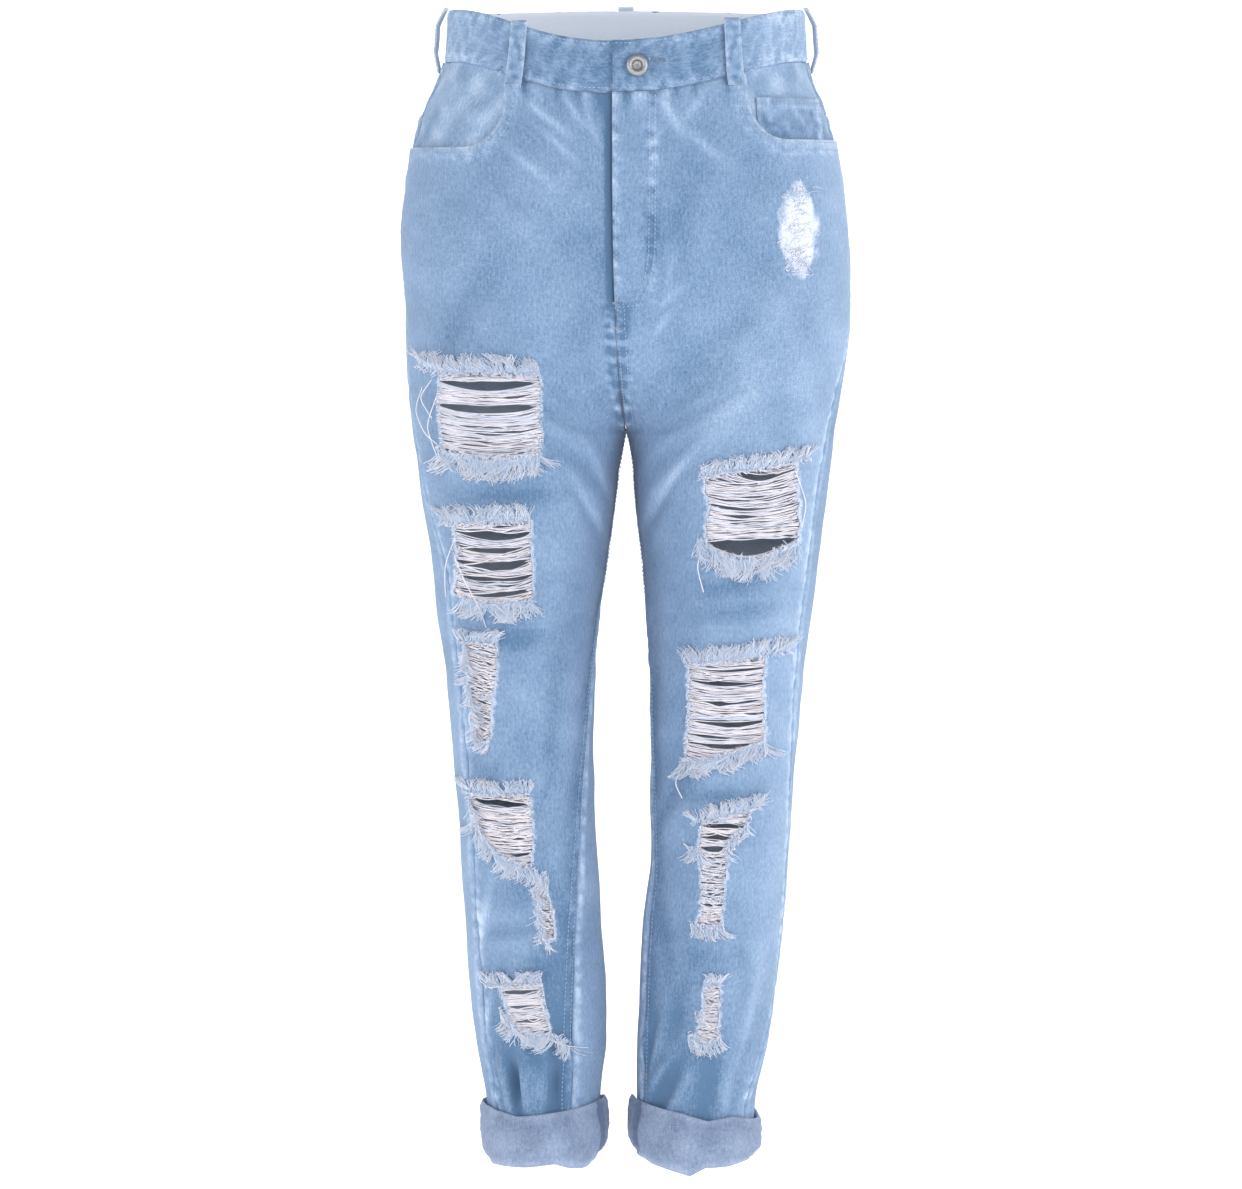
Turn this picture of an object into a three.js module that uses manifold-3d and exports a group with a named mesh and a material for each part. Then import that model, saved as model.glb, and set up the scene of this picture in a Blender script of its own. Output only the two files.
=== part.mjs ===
// Ripped high-waist jeans, worn and hollow, with tapered legs and rolled cuffs.
// Millimetres. +Z is up, -Y is the front and +X is the wearer's left.
// The origin is the centre of the waist opening, where the wearer's waist holds the jeans.
import * as THREE from 'three';
import { mergeVertices } from 'three/addons/utils/BufferGeometryUtils.js';
import Module from 'manifold-3d';

const wasm = await Module();
wasm.setup();

// ---- Driving dimensions ----

const CLOTH = 1.6;             // one layer of rigid denim
const GAP = 0.3;               // left between neighbouring pieces
const BAND = 2.4;              // the waistband is folded double
const BAND_HEIGHT = 40;
const WAIST_SIDE = 11;         // top of the waistband at the side seams
const WAIST_FRONT = -15;       // and where it dips at the front
const WAIST_BACK = 15;         // and where it rises at the back
const YOKE_SIDE = 40;          // height of the back yoke at the side seam
const YOKE_BACK = 66;          // and at the centre back
const CROTCH = -317;           // level of the crotch point
const ARCH = 88;               // height over which the seat curves under to the crotch
const LEVEL = -140;            // rows of cloth are horizontal from here down
const CUFF_FOLD = { left: -897, right: -893 };
const CUFF_TOP = { left: -852, right: -846 };
const CUFF_CLOTH = 3;          // the hem is turned up twice
const CUFF_CLEARANCE = 1;      // between the cuff and the leg inside it
const HEM = 8;                 // how far the leg stops above the fold
const COLUMNS = 10;            // strips of cloth across a panel
const SQUARENESS = 2.2;        // the hips are a little squarer than an ellipse

// ---- Colours ----

const DENIM = '#8CAFD7';
const DENIM_INSIDE = '#9FB0CF';
const METAL = '#B4AFA8';

// ---- The worn form, as horizontal sections ----

// A smooth curve of one size against height, through [height, size] pairs from the top down.
function profile(pairs) {
  const slope = (i) => (pairs[i + 1][1] - pairs[i][1]) / (pairs[i + 1][0] - pairs[i][0]);
  const last = pairs.length - 1;
  const tangent = (i) => {
    if (i === 0) return slope(0);
    if (i === last) return slope(last - 1);
    const turns = slope(i - 1) * slope(i) <= 0;
    return turns ? 0 : (slope(i - 1) + slope(i)) / 2;
  };
  return (z) => {
    const height = Math.min(Math.max(z, pairs[last][0]), pairs[0][0]);
    let i = 0;
    while (i < last - 1 && height < pairs[i + 1][0]) i += 1;
    const step = pairs[i + 1][0] - pairs[i][0];
    const t = (height - pairs[i][0]) / step;
    const start = (2 * t ** 3 - 3 * t ** 2 + 1) * pairs[i][1];
    const leave = (t ** 3 - 2 * t ** 2 + t) * step * tangent(i);
    const end = (3 * t ** 2 - 2 * t ** 3) * pairs[i + 1][1];
    const arrive = (t ** 3 - t ** 2) * step * tangent(i + 1);
    return start + leave + end + arrive;
  };
}

// Each leg has its own outer and inner outline. The seams turn forward on the leg, because the
// back panels are the wider ones: both turns are in q, the place round a section.
const SIDES = {
  left: {
    sign: 1,
    outer: profile([[20, 139], [-25, 141.5], [-45, 146], [-66, 155], [-90, 163], [-137, 171], [-184, 175],
      [-231, 176], [-278, 170.5], [-325, 164], [-419, 152], [-513, 139], [-608, 131], [-702, 124],
      [-749, 118.5], [-796, 113], [-843, 103], [-900, 101]]),
    inner: profile([[CROTCH, GAP / 2], [-325, 3], [-372, 8], [-419, 13], [-466, 17], [-513, 19],
      [-655, 19], [-702, 14], [-749, 11], [-843, 8], [-900, 8]]),
    outseam: profile([[-200, 0], [-300, -0.14], [-450, -0.18], [-600, -0.12], [-750, -0.06], [-848, -0.2]]),
    inseam: profile([[-420, 0], [-640, 0.11], [-848, 0.15]]),
  },
  right: {
    sign: -1,
    outer: profile([[20, 139], [-25, 141.5], [-45, 148], [-66, 158], [-90, 166], [-137, 173.5], [-160, 176],
      [-207, 173], [-278, 171], [-325, 167], [-372, 160], [-419, 152.5], [-466, 148], [-513, 141.5],
      [-608, 133], [-702, 126.5], [-796, 119], [-843, 111], [-900, 107]]),
    inner: profile([[CROTCH, GAP / 2], [-325, 2], [-372, 9], [-419, 15], [-466, 22], [-560, 25.5],
      [-655, 23], [-702, 20], [-749, 16], [-796, 15], [-843, 20], [-900, 20]]),
    outseam: profile([[-200, 0], [-362, -0.12], [-452, -0.21], [-600, -0.21], [-740, -0.2], [-848, -0.2]]),
    inseam: profile([[-420, 0], [-637, 0.22], [-804, 0.34], [-848, 0.34]]),
  },
};
const FRONT = profile([[20, -86], [-30, -92], [-100, -102], [-180, -106], [-231, -105], [CROTCH, -98],
  [-400, -88], [-480, -78], [-560, -70], [-650, -62], [-750, -54], [-843, -48], [-900, -47]]);
const BACK = profile([[20, 84], [-30, 92], [-100, 112], [-180, 130], [-231, 130], [CROTCH, 112],
  [-400, 98], [-480, 86], [-560, 76], [-650, 70], [-750, 68], [-843, 62], [-900, 60]]);
const MIDDLE = profile([[20, 0], [-180, 2], [-231, 4], [CROTCH, 8], [-400, 8], [-560, 4], [-650, 4],
  [-750, 8], [-900, 8]]);
const FLY_SHIFT = profile([[20, -11], [-217, -9], [-290, -4], [CROTCH, 0]]);  // the lap lies off centre

// Largest folds: shallow troughs, each at a place q and height z on a leg, turned by an angle.
const FOLDS = [
  { side: 'right', q: -0.35, z: -828, turn: 0.15, width: 5, length: 26, depth: 5 },
  { side: 'right', q: -0.57, z: -832, turn: -0.1, width: 7, length: 28, depth: 4 },
  { side: 'right', q: 0.45, z: -820, turn: 1.1, width: 9, length: 42, depth: 5 },
  { side: 'right', q: 0.5, z: -545, turn: 1.3, width: 11, length: 48, depth: 5 },
  { side: 'right', q: 0.55, z: -500, turn: 1.5, width: 10, length: 44, depth: 4 },
  { side: 'left', q: -0.68, z: -835, turn: 0.5, width: 6, length: 26, depth: 5 },
  { side: 'left', q: -0.46, z: -838, turn: 0, width: 9, length: 26, depth: 3 },
  { side: 'left', q: 0.4, z: -815, turn: -1.1, width: 9, length: 40, depth: 5 },
  { side: 'left', q: 0.5, z: -555, turn: -1.3, width: 11, length: 48, depth: 5 },
  { side: 'left', q: 0.55, z: -508, turn: -1.5, width: 10, length: 44, depth: 4 },
  { side: 'left', q: 0.62, z: -352, turn: -1.0, width: 10, length: 40, depth: 4 },
  { side: 'right', q: 0.62, z: -352, turn: 1.0, width: 10, length: 40, depth: 4 },
];
const FOLD_ROUND = 170;        // millimetres of cloth from the side seam (q 0) round to the inseam (q 1)

function foldDepth(side, q, z) {
  let depth = 0;
  for (const fold of FOLDS.filter((each) => each.side === side)) {
    const across = (q - fold.q) * FOLD_ROUND;
    const up = z - fold.z;
    const off = across * Math.cos(fold.turn) - up * Math.sin(fold.turn);
    const along = across * Math.sin(fold.turn) + up * Math.cos(fold.turn);
    depth += fold.depth * Math.exp(-((off / fold.width) ** 2) - (along / fold.length) ** 2);
  }
  return depth;
}

// A point of the outer face. q runs from the centre front (-1), by the widest point at the side (0),
// to the centre back (1), and on a leg -1 and 1 meet at the inside of the leg.
function onForm(side, q, z) {
  const { sign, outer, inner } = SIDES[side];
  const out = outer(z);
  const within = z > CROTCH ? GAP / 2 : inner(z);
  const middle = MIDDLE(z);
  const depth = (wave) => (wave > 0 ? BACK(z) - middle : middle - FRONT(z)) * wave;

  // hips: one rounded section about the body
  const turn = q * Math.PI / 2;
  const rounded = (value) => Math.sign(value) * Math.abs(value) ** (2 / SQUARENESS);
  const hip = new THREE.Vector2(GAP / 2 + (out - GAP / 2) * rounded(Math.cos(turn)),
    middle + depth(rounded(Math.sin(turn))));

  // leg: a section of its own
  const round = q * Math.PI;
  const leg = new THREE.Vector2((out + within) / 2 + (out - within) / 2 * Math.cos(round),
    middle + depth(Math.sin(round)));

  // the seat curves under to the crotch at the centre, and blends slowly into the leg elsewhere
  const rise = THREE.MathUtils.clamp((z - CROTCH) / ARCH, 0, 1);
  const under = 1 - Math.sqrt(Math.max(0, 1 - (1 - rise) ** 2));
  const slow = 1 - THREE.MathUtils.smoothstep(z, -360, -130);
  const share = 1 - THREE.MathUtils.smoothstep(Math.abs(q), 0.55, 1);
  hip.lerp(leg, under + (slow - under) * share);

  const shift = FLY_SHIFT(z) * THREE.MathUtils.smoothstep(-q, 0.35, 1);
  return new THREE.Vector3(sign * hip.x + shift, hip.y, z);
}

// The outward direction of the cloth at a point, from its neighbours
function outward(side, q, z) {
  const dq = 0.01;
  const dz = 2;
  const round = onForm(side, q + dq, z).sub(onForm(side, q - dq, z));
  const up = onForm(side, q, z + dz).sub(onForm(side, q, z - dz));
  return round.cross(up).normalize().multiplyScalar(SIDES[side].sign);
}

// A point of the cloth, this deep inside the outer face, or proud of it where depth is negative
function inCloth(side, q, z, depth, folds = true) {
  const point = onForm(side, q, z);
  const inwards = depth + (folds ? foldDepth(side, q, z) : 0);
  point.addScaledVector(outward(side, q, z), -inwards);
  const own = SIDES[side].sign * (point.x - FLY_SHIFT(z) * (q < -0.9 ? 1 : 0));
  const onSeam = depth >= 0 && z >= CROTCH && Math.abs(q) > 0.9;
  if (onSeam && own < GAP / 2) point.x += SIDES[side].sign * (GAP / 2 - own);
  return point;
}

// The place that lies a distance in millimetres round the section from q
function alongFrom(side, q, z, distance) {
  const speed = onForm(side, q + 0.01, z).distanceTo(onForm(side, q - 0.01, z)) / 0.02;
  return q + distance / speed;
}

// ---- Making solids ----

// A closed sheet of cloth. place(u, v) gives its q and z; top and under are the depths of its faces.
function sheet(side, columns, rows, place, top, under) {
  const across = columns.length;
  const count = across * rows.length;
  const points = [];
  for (const depth of [top, under]) {
    for (const v of rows) {
      for (const u of columns) {
        const at = place(u, v);
        points.push(inCloth(at.side ?? side, at.q, at.z, depth(u, v)));
      }
    }
  }
  const faces = [];
  const quad = (a, b, c, d) => faces.push([a, b, c], [a, c, d]);
  const index = (i, j, layer) => layer * count + j * across + i;
  const lastColumn = across - 1;
  const lastRow = rows.length - 1;
  for (let j = 0; j < lastRow; j += 1) {
    for (let i = 0; i < lastColumn; i += 1) {
      quad(index(i, j, 0), index(i, j + 1, 0), index(i + 1, j + 1, 0), index(i + 1, j, 0));
      quad(index(i, j, 1), index(i + 1, j, 1), index(i + 1, j + 1, 1), index(i, j + 1, 1));
    }
    quad(index(0, j, 0), index(0, j, 1), index(0, j + 1, 1), index(0, j + 1, 0));
    quad(index(lastColumn, j, 0), index(lastColumn, j + 1, 0), index(lastColumn, j + 1, 1), index(lastColumn, j, 1));
  }
  for (let i = 0; i < lastColumn; i += 1) {
    quad(index(i, 0, 0), index(i + 1, 0, 0), index(i + 1, 0, 1), index(i, 0, 1));
    quad(index(i, lastRow, 0), index(i, lastRow, 1), index(i + 1, lastRow, 1), index(i + 1, lastRow, 0));
  }
  return facingOut(points, faces);
}

// A closed ring round a leg, free of its folds, from a closed outline of [depth, height] corners
function ring(side, steps, outline) {
  const points = [];
  for (let i = 0; i < steps; i += 1) {
    const q = -1 + 2 * i / steps;
    for (const [depth, height] of outline) points.push(inCloth(side, q, height, depth, false));
  }
  const faces = [];
  const corners = outline.length;
  for (let i = 0; i < steps; i += 1) {
    for (let k = 0; k < corners; k += 1) {
      const a = i * corners + k;
      const b = i * corners + (k + 1) % corners;
      const c = (i + 1) % steps * corners + (k + 1) % corners;
      const d = (i + 1) % steps * corners + k;
      faces.push([a, b, c], [a, c, d]);
    }
  }
  return facingOut(points, faces);
}

// A geometry from points and faces, turned over if its volume comes out negative
function facingOut(points, faces) {
  let volume = 0;
  for (const [a, b, c] of faces) volume += points[a].dot(points[b].clone().cross(points[c]));
  const turned = volume < 0 ? faces.map(([a, b, c]) => [a, c, b]) : faces;
  const geometry = new THREE.BufferGeometry();
  geometry.setAttribute('position', new THREE.Float32BufferAttribute(points.flatMap((p) => p.toArray()), 3));
  geometry.setIndex(turned.flat());
  return geometry;
}

function toSolid(source) {
  const bare = source.clone();
  bare.deleteAttribute('normal');
  bare.deleteAttribute('uv');
  const merged = mergeVertices(bare, 1e-4);
  return new wasm.Manifold(new wasm.Mesh({
    numProp: 3,
    vertProperties: new Float32Array(merged.attributes.position.array),
    triVerts: new Uint32Array(merged.index.array),
  }));
}

function toGeometry(solid) {
  const mesh = solid.getMesh();
  const geometry = new THREE.BufferGeometry();
  geometry.setAttribute('position', new THREE.BufferAttribute(mesh.vertProperties, 3));
  geometry.setIndex(new THREE.BufferAttribute(mesh.triVerts, 1));
  return geometry;
}

// A straight block over an outline of [x, z] corners, from y to y
function block(outline, fromY, toY) {
  const shape = new THREE.Shape(outline.map(([x, z]) => new THREE.Vector2(x, z)));
  const solid = new THREE.ExtrudeGeometry(shape, { depth: toY - fromY, bevelEnabled: false });
  solid.rotateX(Math.PI / 2);
  solid.translate(0, toY, 0);
  return toSolid(solid);
}

const part = new THREE.Group();

function add(name, geometry, colour = DENIM, roughness = 0.9, metalness = 0) {
  const mesh = new THREE.Mesh(geometry, new THREE.MeshStandardMaterial({ color: colour, roughness, metalness }));
  mesh.name = name;
  part.add(mesh);
}

// ---- Rows and columns of the panels ----

// Heights of the seams that run round the body, at a place q
function waistTop(q) {
  const lift = Math.abs(Math.sin(q * Math.PI / 2)) ** 4;
  return WAIST_SIDE + ((q < 0 ? WAIST_FRONT : WAIST_BACK) - WAIST_SIDE) * lift;
}
const waistSeam = (q) => waistTop(q) - BAND_HEIGHT;
const yokeSeam = (q) => waistSeam(q) - YOKE_SIDE - (YOKE_BACK - YOKE_SIDE) * Math.abs(q);

const evenly = (steps) => Array.from({ length: steps + 1 }, (_, i) => i / steps);

// Levels of the panel rows below LEVEL: evenly down the hips, by equal angles round the seat's curve
// so that the crotch is on a row, then down the leg, closer at the ankle
function levels(side) {
  const hips = [-172, -204];
  const seat = [90, 68, 46, 24, 0].map((degrees) => CROTCH + ARCH * (1 - Math.cos(degrees * Math.PI / 180)));
  const leg = [-330, -350, -380, -420, -465, -512, -560, -610, -660, -712, -760];
  const ankle = [-795, -818, -838, -858, CUFF_FOLD[side] + HEM];
  return [LEVEL, ...hips, ...seat, ...leg, ...ankle];
}

// Places of the rows from an upper seam down to the cuff: 0 to 1 slides from the seam to LEVEL
function panelRows(side) {
  const upper = [0, 0.33, 0.66].map((part) => ({ part }));
  return [...upper, ...levels(side).map((z) => ({ z }))];
}

// q across a panel at height z: the front runs from the centre to the side seam, the back from there
function frontAt(side, u, z) {
  const { inseam, outseam } = SIDES[side];
  const start = -1 + inseam(z);
  const end = outseam(z);
  const from = z > CROTCH ? start : alongFrom(side, start, z, GAP / 2);
  return from + (alongFrom(side, end, z, -GAP / 2) - from) * u;
}

function backAt(side, u, z) {
  const { inseam, outseam } = SIDES[side];
  const end = 1 + inseam(z);
  const to = z > CROTCH ? end : alongFrom(side, end, z, -GAP / 2);
  const from = alongFrom(side, outseam(z), z, GAP / 2);
  return from + (to - from) * u;
}

function panelPlace(side, across, seam) {
  return (u, row) => {
    if (row.z !== undefined) return { q: across(side, u, row.z), z: row.z };
    const q = across(side, u, LEVEL);
    const top = seam(q) - GAP;
    return { q, z: top + (LEVEL - top) * row.part };
  };
}

// A layer of a panel's own cloth between two depths, on the panel's own rows and columns
function layer(side, across, seam, outside, inside, last = levels(side).length) {
  const rows = panelRows(side).slice(0, 3 + last);
  return sheet(side, evenly(COLUMNS), rows, panelPlace(side, across, seam), () => outside, () => inside);
}

// ---- Front panels: two legs with curved pocket mouths and the torn places ----

// Half the mouth of a front pocket, from the waistband round to the side seam. It is a quarter of an
// ellipse let into a straight run to the side.
const POCKET_TOP = -15;
const POCKETS = {
  left: { edge: 91, turn: 124, bottom: -91, side: 185 },
  right: { edge: 92, turn: 126, bottom: -97, side: 185 },
};

function pocketMouth(side) {
  const { edge, turn, bottom, side: outside } = POCKETS[side];
  const sign = SIDES[side].sign;
  const corner = evenly(6).map((part) => {
    const angle = part * Math.PI / 2;
    return [turn - (turn - edge - 2) * Math.cos(angle), bottom + 38 - 38 * Math.sin(angle)];
  });
  const mouth = [[edge - 1, POCKET_TOP], ...corner, [outside, bottom + 1], [outside, POCKET_TOP]];
  return mouth.map(([x, z]) => [sign * x, z]);
}

// The torn holes, as rough outlines of [x, z] corners on the front of each leg
const RIPS = {
  right: [
    [[-142, -271], [-104, -268], [-67, -272], [-66, -334], [-104, -339], [-140, -333]],
    [[-133, -386], [-73, -384], [-73, -446], [-104, -450], [-132, -444]],
    [[-124, -478], [-101, -478], [-102, -524], [-108, -558], [-115, -558], [-122, -520]],
    [[-122, -600], [-75, -597], [-74, -656], [-97, -652], [-114, -628]],
    [[-99, -749], [-68, -747], [-59, -787], [-83, -788]],
  ],
  left: [
    [[61, -348], [96, -343], [130, -340], [132, -402], [103, -416], [77, -416], [61, -400]],
    [[48, -496], [107, -489], [107, -558], [46, -574]],
    [[59, -618], [96, -612], [79, -642], [75, -700], [58, -700], [58, -642]],
    [[62, -748], [73, -747], [72, -790], [55, -790]],
  ],
};

for (const side of ['left', 'right']) {
  let panel = toSolid(layer(side, frontAt, waistSeam, 0, CLOTH));
  panel = panel.subtract(block(pocketMouth(side), -150, 40));
  for (const rip of RIPS[side]) panel = panel.subtract(block(rip, -150, 0));
  add(`front_${side}`, toGeometry(panel));
}

// ---- Back panels and yokes ----

for (const side of ['left', 'right']) {
  add(`back_${side}`, layer(side, backAt, yokeSeam, 0, CLOTH));

  const yoke = (u, v) => {
    const q = backAt(side, u, LEVEL);
    const top = waistSeam(q) - GAP;
    return { q, z: top + (yokeSeam(q) - top) * v };
  };
  add(`yoke_${side}`, sheet(side, evenly(COLUMNS), evenly(2), yoke, () => 0, () => CLOTH));
}

// ---- Waistband: one doubled strip whose right end runs on beneath the buttoned left end ----

const UNDER = BAND + 0.6;
const halfBand = evenly(2 * COLUMNS).map((part) => -1 + 2 * part);
const bandStations = [
  ...halfBand.map((q) => ({ side: 'left', q, drop: 0 })),
  ...halfBand.slice(1, -1).reverse().map((q) => ({ side: 'right', q, drop: 0 })),
  ...halfBand.slice(0, 3).map((q) => ({ side: 'left', q, drop: UNDER })),
];
const band = (station, v) => {
  const top = waistTop(station.q);
  return { side: station.side, q: station.q, z: top - BAND_HEIGHT * v };
};
add('waistband', sheet('left', bandStations, evenly(2), band, (s) => s.drop, (s) => s.drop + BAND));

// ---- Pocket facings, the coin pocket and the pieces behind the fly ----

function cutTo(solid, outline, fromY, toY) {
  return toGeometry(toSolid(solid).intersect(block(outline, fromY, toY)));
}

const FACING_DEPTH = 3.4;      // leaves room for the coin pocket in front of it
const TRIM = 1.2;              // thickness of the thinner layers
for (const side of ['left', 'right']) {
  const { edge, bottom, side: outside } = POCKETS[side];
  const sign = SIDES[side].sign;
  const facing = [[edge - 14, 0], [edge - 14, bottom - 20], [outside, bottom - 34], [outside, 0]];
  add(`pocket_facing_${side}`, cutTo(layer(side, frontAt, waistSeam, FACING_DEPTH, FACING_DEPTH + TRIM, 3),
    facing.map(([x, z]) => [sign * x, z]), -150, 40));
}

const COIN = [[101, -58], [153, -59], [157, -108], [103, -108]];
add('coin_pocket', cutTo(layer('left', frontAt, waistSeam, CLOTH + GAP, CLOTH + GAP + TRIM, 3), COIN, -150, 40));

// A strip behind the fly from the waistband down, with a rounded outer corner
function flyStrip(fromX, toX, bottom, corner) {
  const round = evenly(5).map((part) => {
    const angle = part * Math.PI / 2;
    return [toX - corner + corner * Math.sin(angle), bottom + corner - corner * Math.cos(angle)];
  });
  return [[fromX, bottom], ...round, [toX, -30], [fromX, -30]];
}
const flyLayer = (outside) => layer('left', frontAt, waistSeam, outside, outside + TRIM, 5);
add('fly_facing', cutTo(flyLayer(1.9), flyStrip(-10.5, 24, -218, 26), -150, 0));
add('zip', cutTo(flyLayer(3.4), flyStrip(-8, 14, -206, 2), -150, 0), METAL, 0.5, 0.3);
add('fly_shield', cutTo(flyLayer(4.9), flyStrip(-9.5, 30, -214, 8), -150, 0));

// ---- Back pockets: five-sided patches moved out from the back panels ----

const BACK_POCKET = [[32, -101], [130, -92], [124, -196], [80, -224], [37, -206]];
for (const side of ['left', 'right']) {
  const sign = SIDES[side].sign;
  const patch = layer(side, backAt, yokeSeam, -GAP - TRIM, -GAP, 6);
  add(`back_pocket_${side}`, cutTo(patch, BACK_POCKET.map(([x, z]) => [sign * x, z]), 0, 190));
}

// ---- Belt loops: narrow strips that arch over the waistband ----

const LOOP_WIDTH = 13;
const LOOP_CLOTH = 1.8;
const LOOP_FOOT = 0.5;         // clearance under each sewn end
const LOOPS = [
  { name: 'front_left', side: 'left', q: -0.612, stand: 3 },
  { name: 'front_right', side: 'right', q: -0.655, stand: 3 },
  { name: 'side_left', side: 'left', q: 0.06, stand: 8.5 },
  { name: 'side_right', side: 'right', q: 0.06, stand: 8.5 },
  { name: 'back', side: 'left', q: 1, stand: 8 },
];
for (const { name, side, q, stand } of LOOPS) {
  const lift = (u, v) => LOOP_FOOT + (stand - LOOP_FOOT) * Math.min(1, 1.25 * Math.sin(v * Math.PI));
  const place = (u, v) => {
    const top = waistTop(q) + 3;
    return { q: alongFrom(side, q, top, (u - 0.5) * LOOP_WIDTH), z: top - (BAND_HEIGHT + 12) * v };
  };
  const loop = sheet(side, evenly(2), evenly(10), place,
    (u, v) => -lift(u, v) - LOOP_CLOTH, (u, v) => -lift(u, v));
  add(`belt_loop_${name}`, loop);
}

// ---- Cuffs: the hem turned up twice, inside of the denim showing ----

for (const side of ['left', 'right']) {
  const fold = CUFF_FOLD[side];
  const top = CUFF_TOP[side];
  const near = -CUFF_CLEARANCE;
  const far = near - CUFF_CLOTH;
  const outline = [
    [near, top],
    [far, top],
    [far - 1.5, (top + fold) / 2],
    [far, fold + 4],
    [far + 2, fold],
    [CLOTH - 1, fold],
    [CLOTH, fold + 2],
    [CLOTH, fold + HEM - GAP],
    [0, fold + HEM - GAP],
    [0, fold + 4],
    [near, fold + 4],
  ];
  add(`cuff_${side}`, ring(side, 22, outline), DENIM_INSIDE);
}

// ---- Button: a hollow-centred jeans button, its shank through both ends of the waistband ----

const BUTTON_Q = -0.932;
const BUTTON_Z = -35;
const BUTTON_RADIUS = 8.6;
const rim = [[0, 0], [7.6, 0], [BUTTON_RADIUS, 0.5], [BUTTON_RADIUS, 1.6], [7.4, 3], [5.2, 3.4], [3.6, 2.4],
  [3, 0.6], [0, 0.6]];
const button = new THREE.LatheGeometry(rim.map(([r, h]) => new THREE.Vector2(r, h)), 24);
const seat = inCloth('left', BUTTON_Q, BUTTON_Z, -GAP - 0.2);
const facing = new THREE.Quaternion().setFromUnitVectors(new THREE.Vector3(0, 1, 0),
  outward('left', BUTTON_Q, BUTTON_Z));
button.applyQuaternion(facing);
button.translate(seat.x, seat.y, seat.z);
add('button', toGeometry(toSolid(button)), METAL, 0.4, 0.8);

export default part;
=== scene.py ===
import math

import bpy
import numpy as np
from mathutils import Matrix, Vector


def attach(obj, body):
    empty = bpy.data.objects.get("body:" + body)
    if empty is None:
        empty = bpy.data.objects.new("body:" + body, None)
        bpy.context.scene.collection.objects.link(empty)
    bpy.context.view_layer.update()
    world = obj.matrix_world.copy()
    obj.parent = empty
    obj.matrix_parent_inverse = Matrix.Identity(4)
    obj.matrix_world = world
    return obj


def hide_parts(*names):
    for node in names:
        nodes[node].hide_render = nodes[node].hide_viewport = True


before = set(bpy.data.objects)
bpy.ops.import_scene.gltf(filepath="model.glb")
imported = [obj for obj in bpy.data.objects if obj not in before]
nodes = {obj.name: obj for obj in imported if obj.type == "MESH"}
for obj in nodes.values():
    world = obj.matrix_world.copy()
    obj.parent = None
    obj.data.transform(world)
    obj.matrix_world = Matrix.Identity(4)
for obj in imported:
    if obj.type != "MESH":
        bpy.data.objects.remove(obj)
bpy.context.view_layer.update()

# ---- Front panels ----
# The two fronts are rigid cotton denim, washed light, cut in one length from the waist seam to the
# hem. They are sewn together below the fly and to the backs at the side seam and the inseam. The
# pocket mouths are scooped out of them, and the knees and thighs are torn open and frayed.

MM = 0.001
# thickness of the cloth of the panels, of the back pockets, and of the facings, all sizes in mm
CLOTH = 1.6
POCKET_CLOTH = 1.5
LIGHT_CLOTH = 1.2
CROTCH = -317.0
ARCH = 88.0
BAND_HEIGHT = 40.0
CUFF_FOLD = {"left": -897.0, "right": -893.0}
SIGN = {"left": 1.0, "right": -1.0}


def profile(pairs):
    """A smooth curve of one size against height, through (height, size) pairs from the top down."""
    pairs = sorted(pairs)
    heights = np.array([pair[0] for pair in pairs], float)
    sizes = np.array([pair[1] for pair in pairs], float)
    slopes = np.diff(sizes) / np.diff(heights)
    inner_slopes = np.where(slopes[:-1] * slopes[1:] <= 0, 0, (slopes[:-1] + slopes[1:]) / 2)
    tangents = np.concatenate([slopes[:1], inner_slopes, slopes[-1:]])

    def size_at(z):
        z = np.clip(z, heights[0], heights[-1])
        i = np.clip(np.searchsorted(heights, z, side="right") - 1, 0, len(heights) - 2)
        step = heights[i + 1] - heights[i]
        t = (z - heights[i]) / step
        start = (2 * t**3 - 3 * t**2 + 1) * sizes[i]
        leave = (t**3 - 2 * t**2 + t) * step * tangents[i]
        end = (3 * t**2 - 2 * t**3) * sizes[i + 1]
        arrive = (t**3 - t**2) * step * tangents[i + 1]
        return start + leave + end + arrive

    return size_at


OUTER = {
    "left": profile([(20, 139), (-25, 141.5), (-45, 146), (-66, 155), (-90, 163), (-137, 171),
                     (-184, 175), (-231, 176), (-278, 170.5), (-325, 164), (-419, 152), (-513, 139),
                     (-608, 131), (-702, 124), (-749, 118.5), (-796, 113), (-843, 103), (-900, 101)]),
    "right": profile([(20, 139), (-25, 141.5), (-45, 148), (-66, 158), (-90, 166), (-137, 173.5),
                      (-160, 176), (-207, 173), (-278, 171), (-325, 167), (-372, 160), (-419, 152.5),
                      (-466, 148), (-513, 141.5), (-608, 133), (-702, 126.5), (-796, 119),
                      (-843, 111), (-900, 107)]),
}
INNER = {
    "left": profile([(CROTCH, 0.15), (-325, 3), (-372, 8), (-419, 13), (-466, 17), (-513, 19),
                     (-655, 19), (-702, 14), (-749, 11), (-843, 8), (-900, 8)]),
    "right": profile([(CROTCH, 0.15), (-325, 2), (-372, 9), (-419, 15), (-466, 22), (-560, 25.5),
                      (-655, 23), (-702, 20), (-749, 16), (-796, 15), (-843, 20), (-900, 20)]),
}
FRONT = profile([(20, -86), (-30, -92), (-100, -102), (-180, -106), (-231, -105), (CROTCH, -98),
                 (-400, -88), (-480, -78), (-560, -70), (-650, -62), (-750, -54), (-843, -48),
                 (-900, -47)])
BACK = profile([(20, 84), (-30, 92), (-100, 112), (-180, 130), (-231, 130), (CROTCH, 112),
                (-400, 98), (-480, 86), (-560, 76), (-650, 70), (-750, 68), (-843, 62), (-900, 60)])
MIDDLE = profile([(20, 0), (-180, 2), (-231, 4), (CROTCH, 8), (-400, 8), (-560, 4), (-650, 4),
                  (-750, 8), (-900, 8)])
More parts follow.
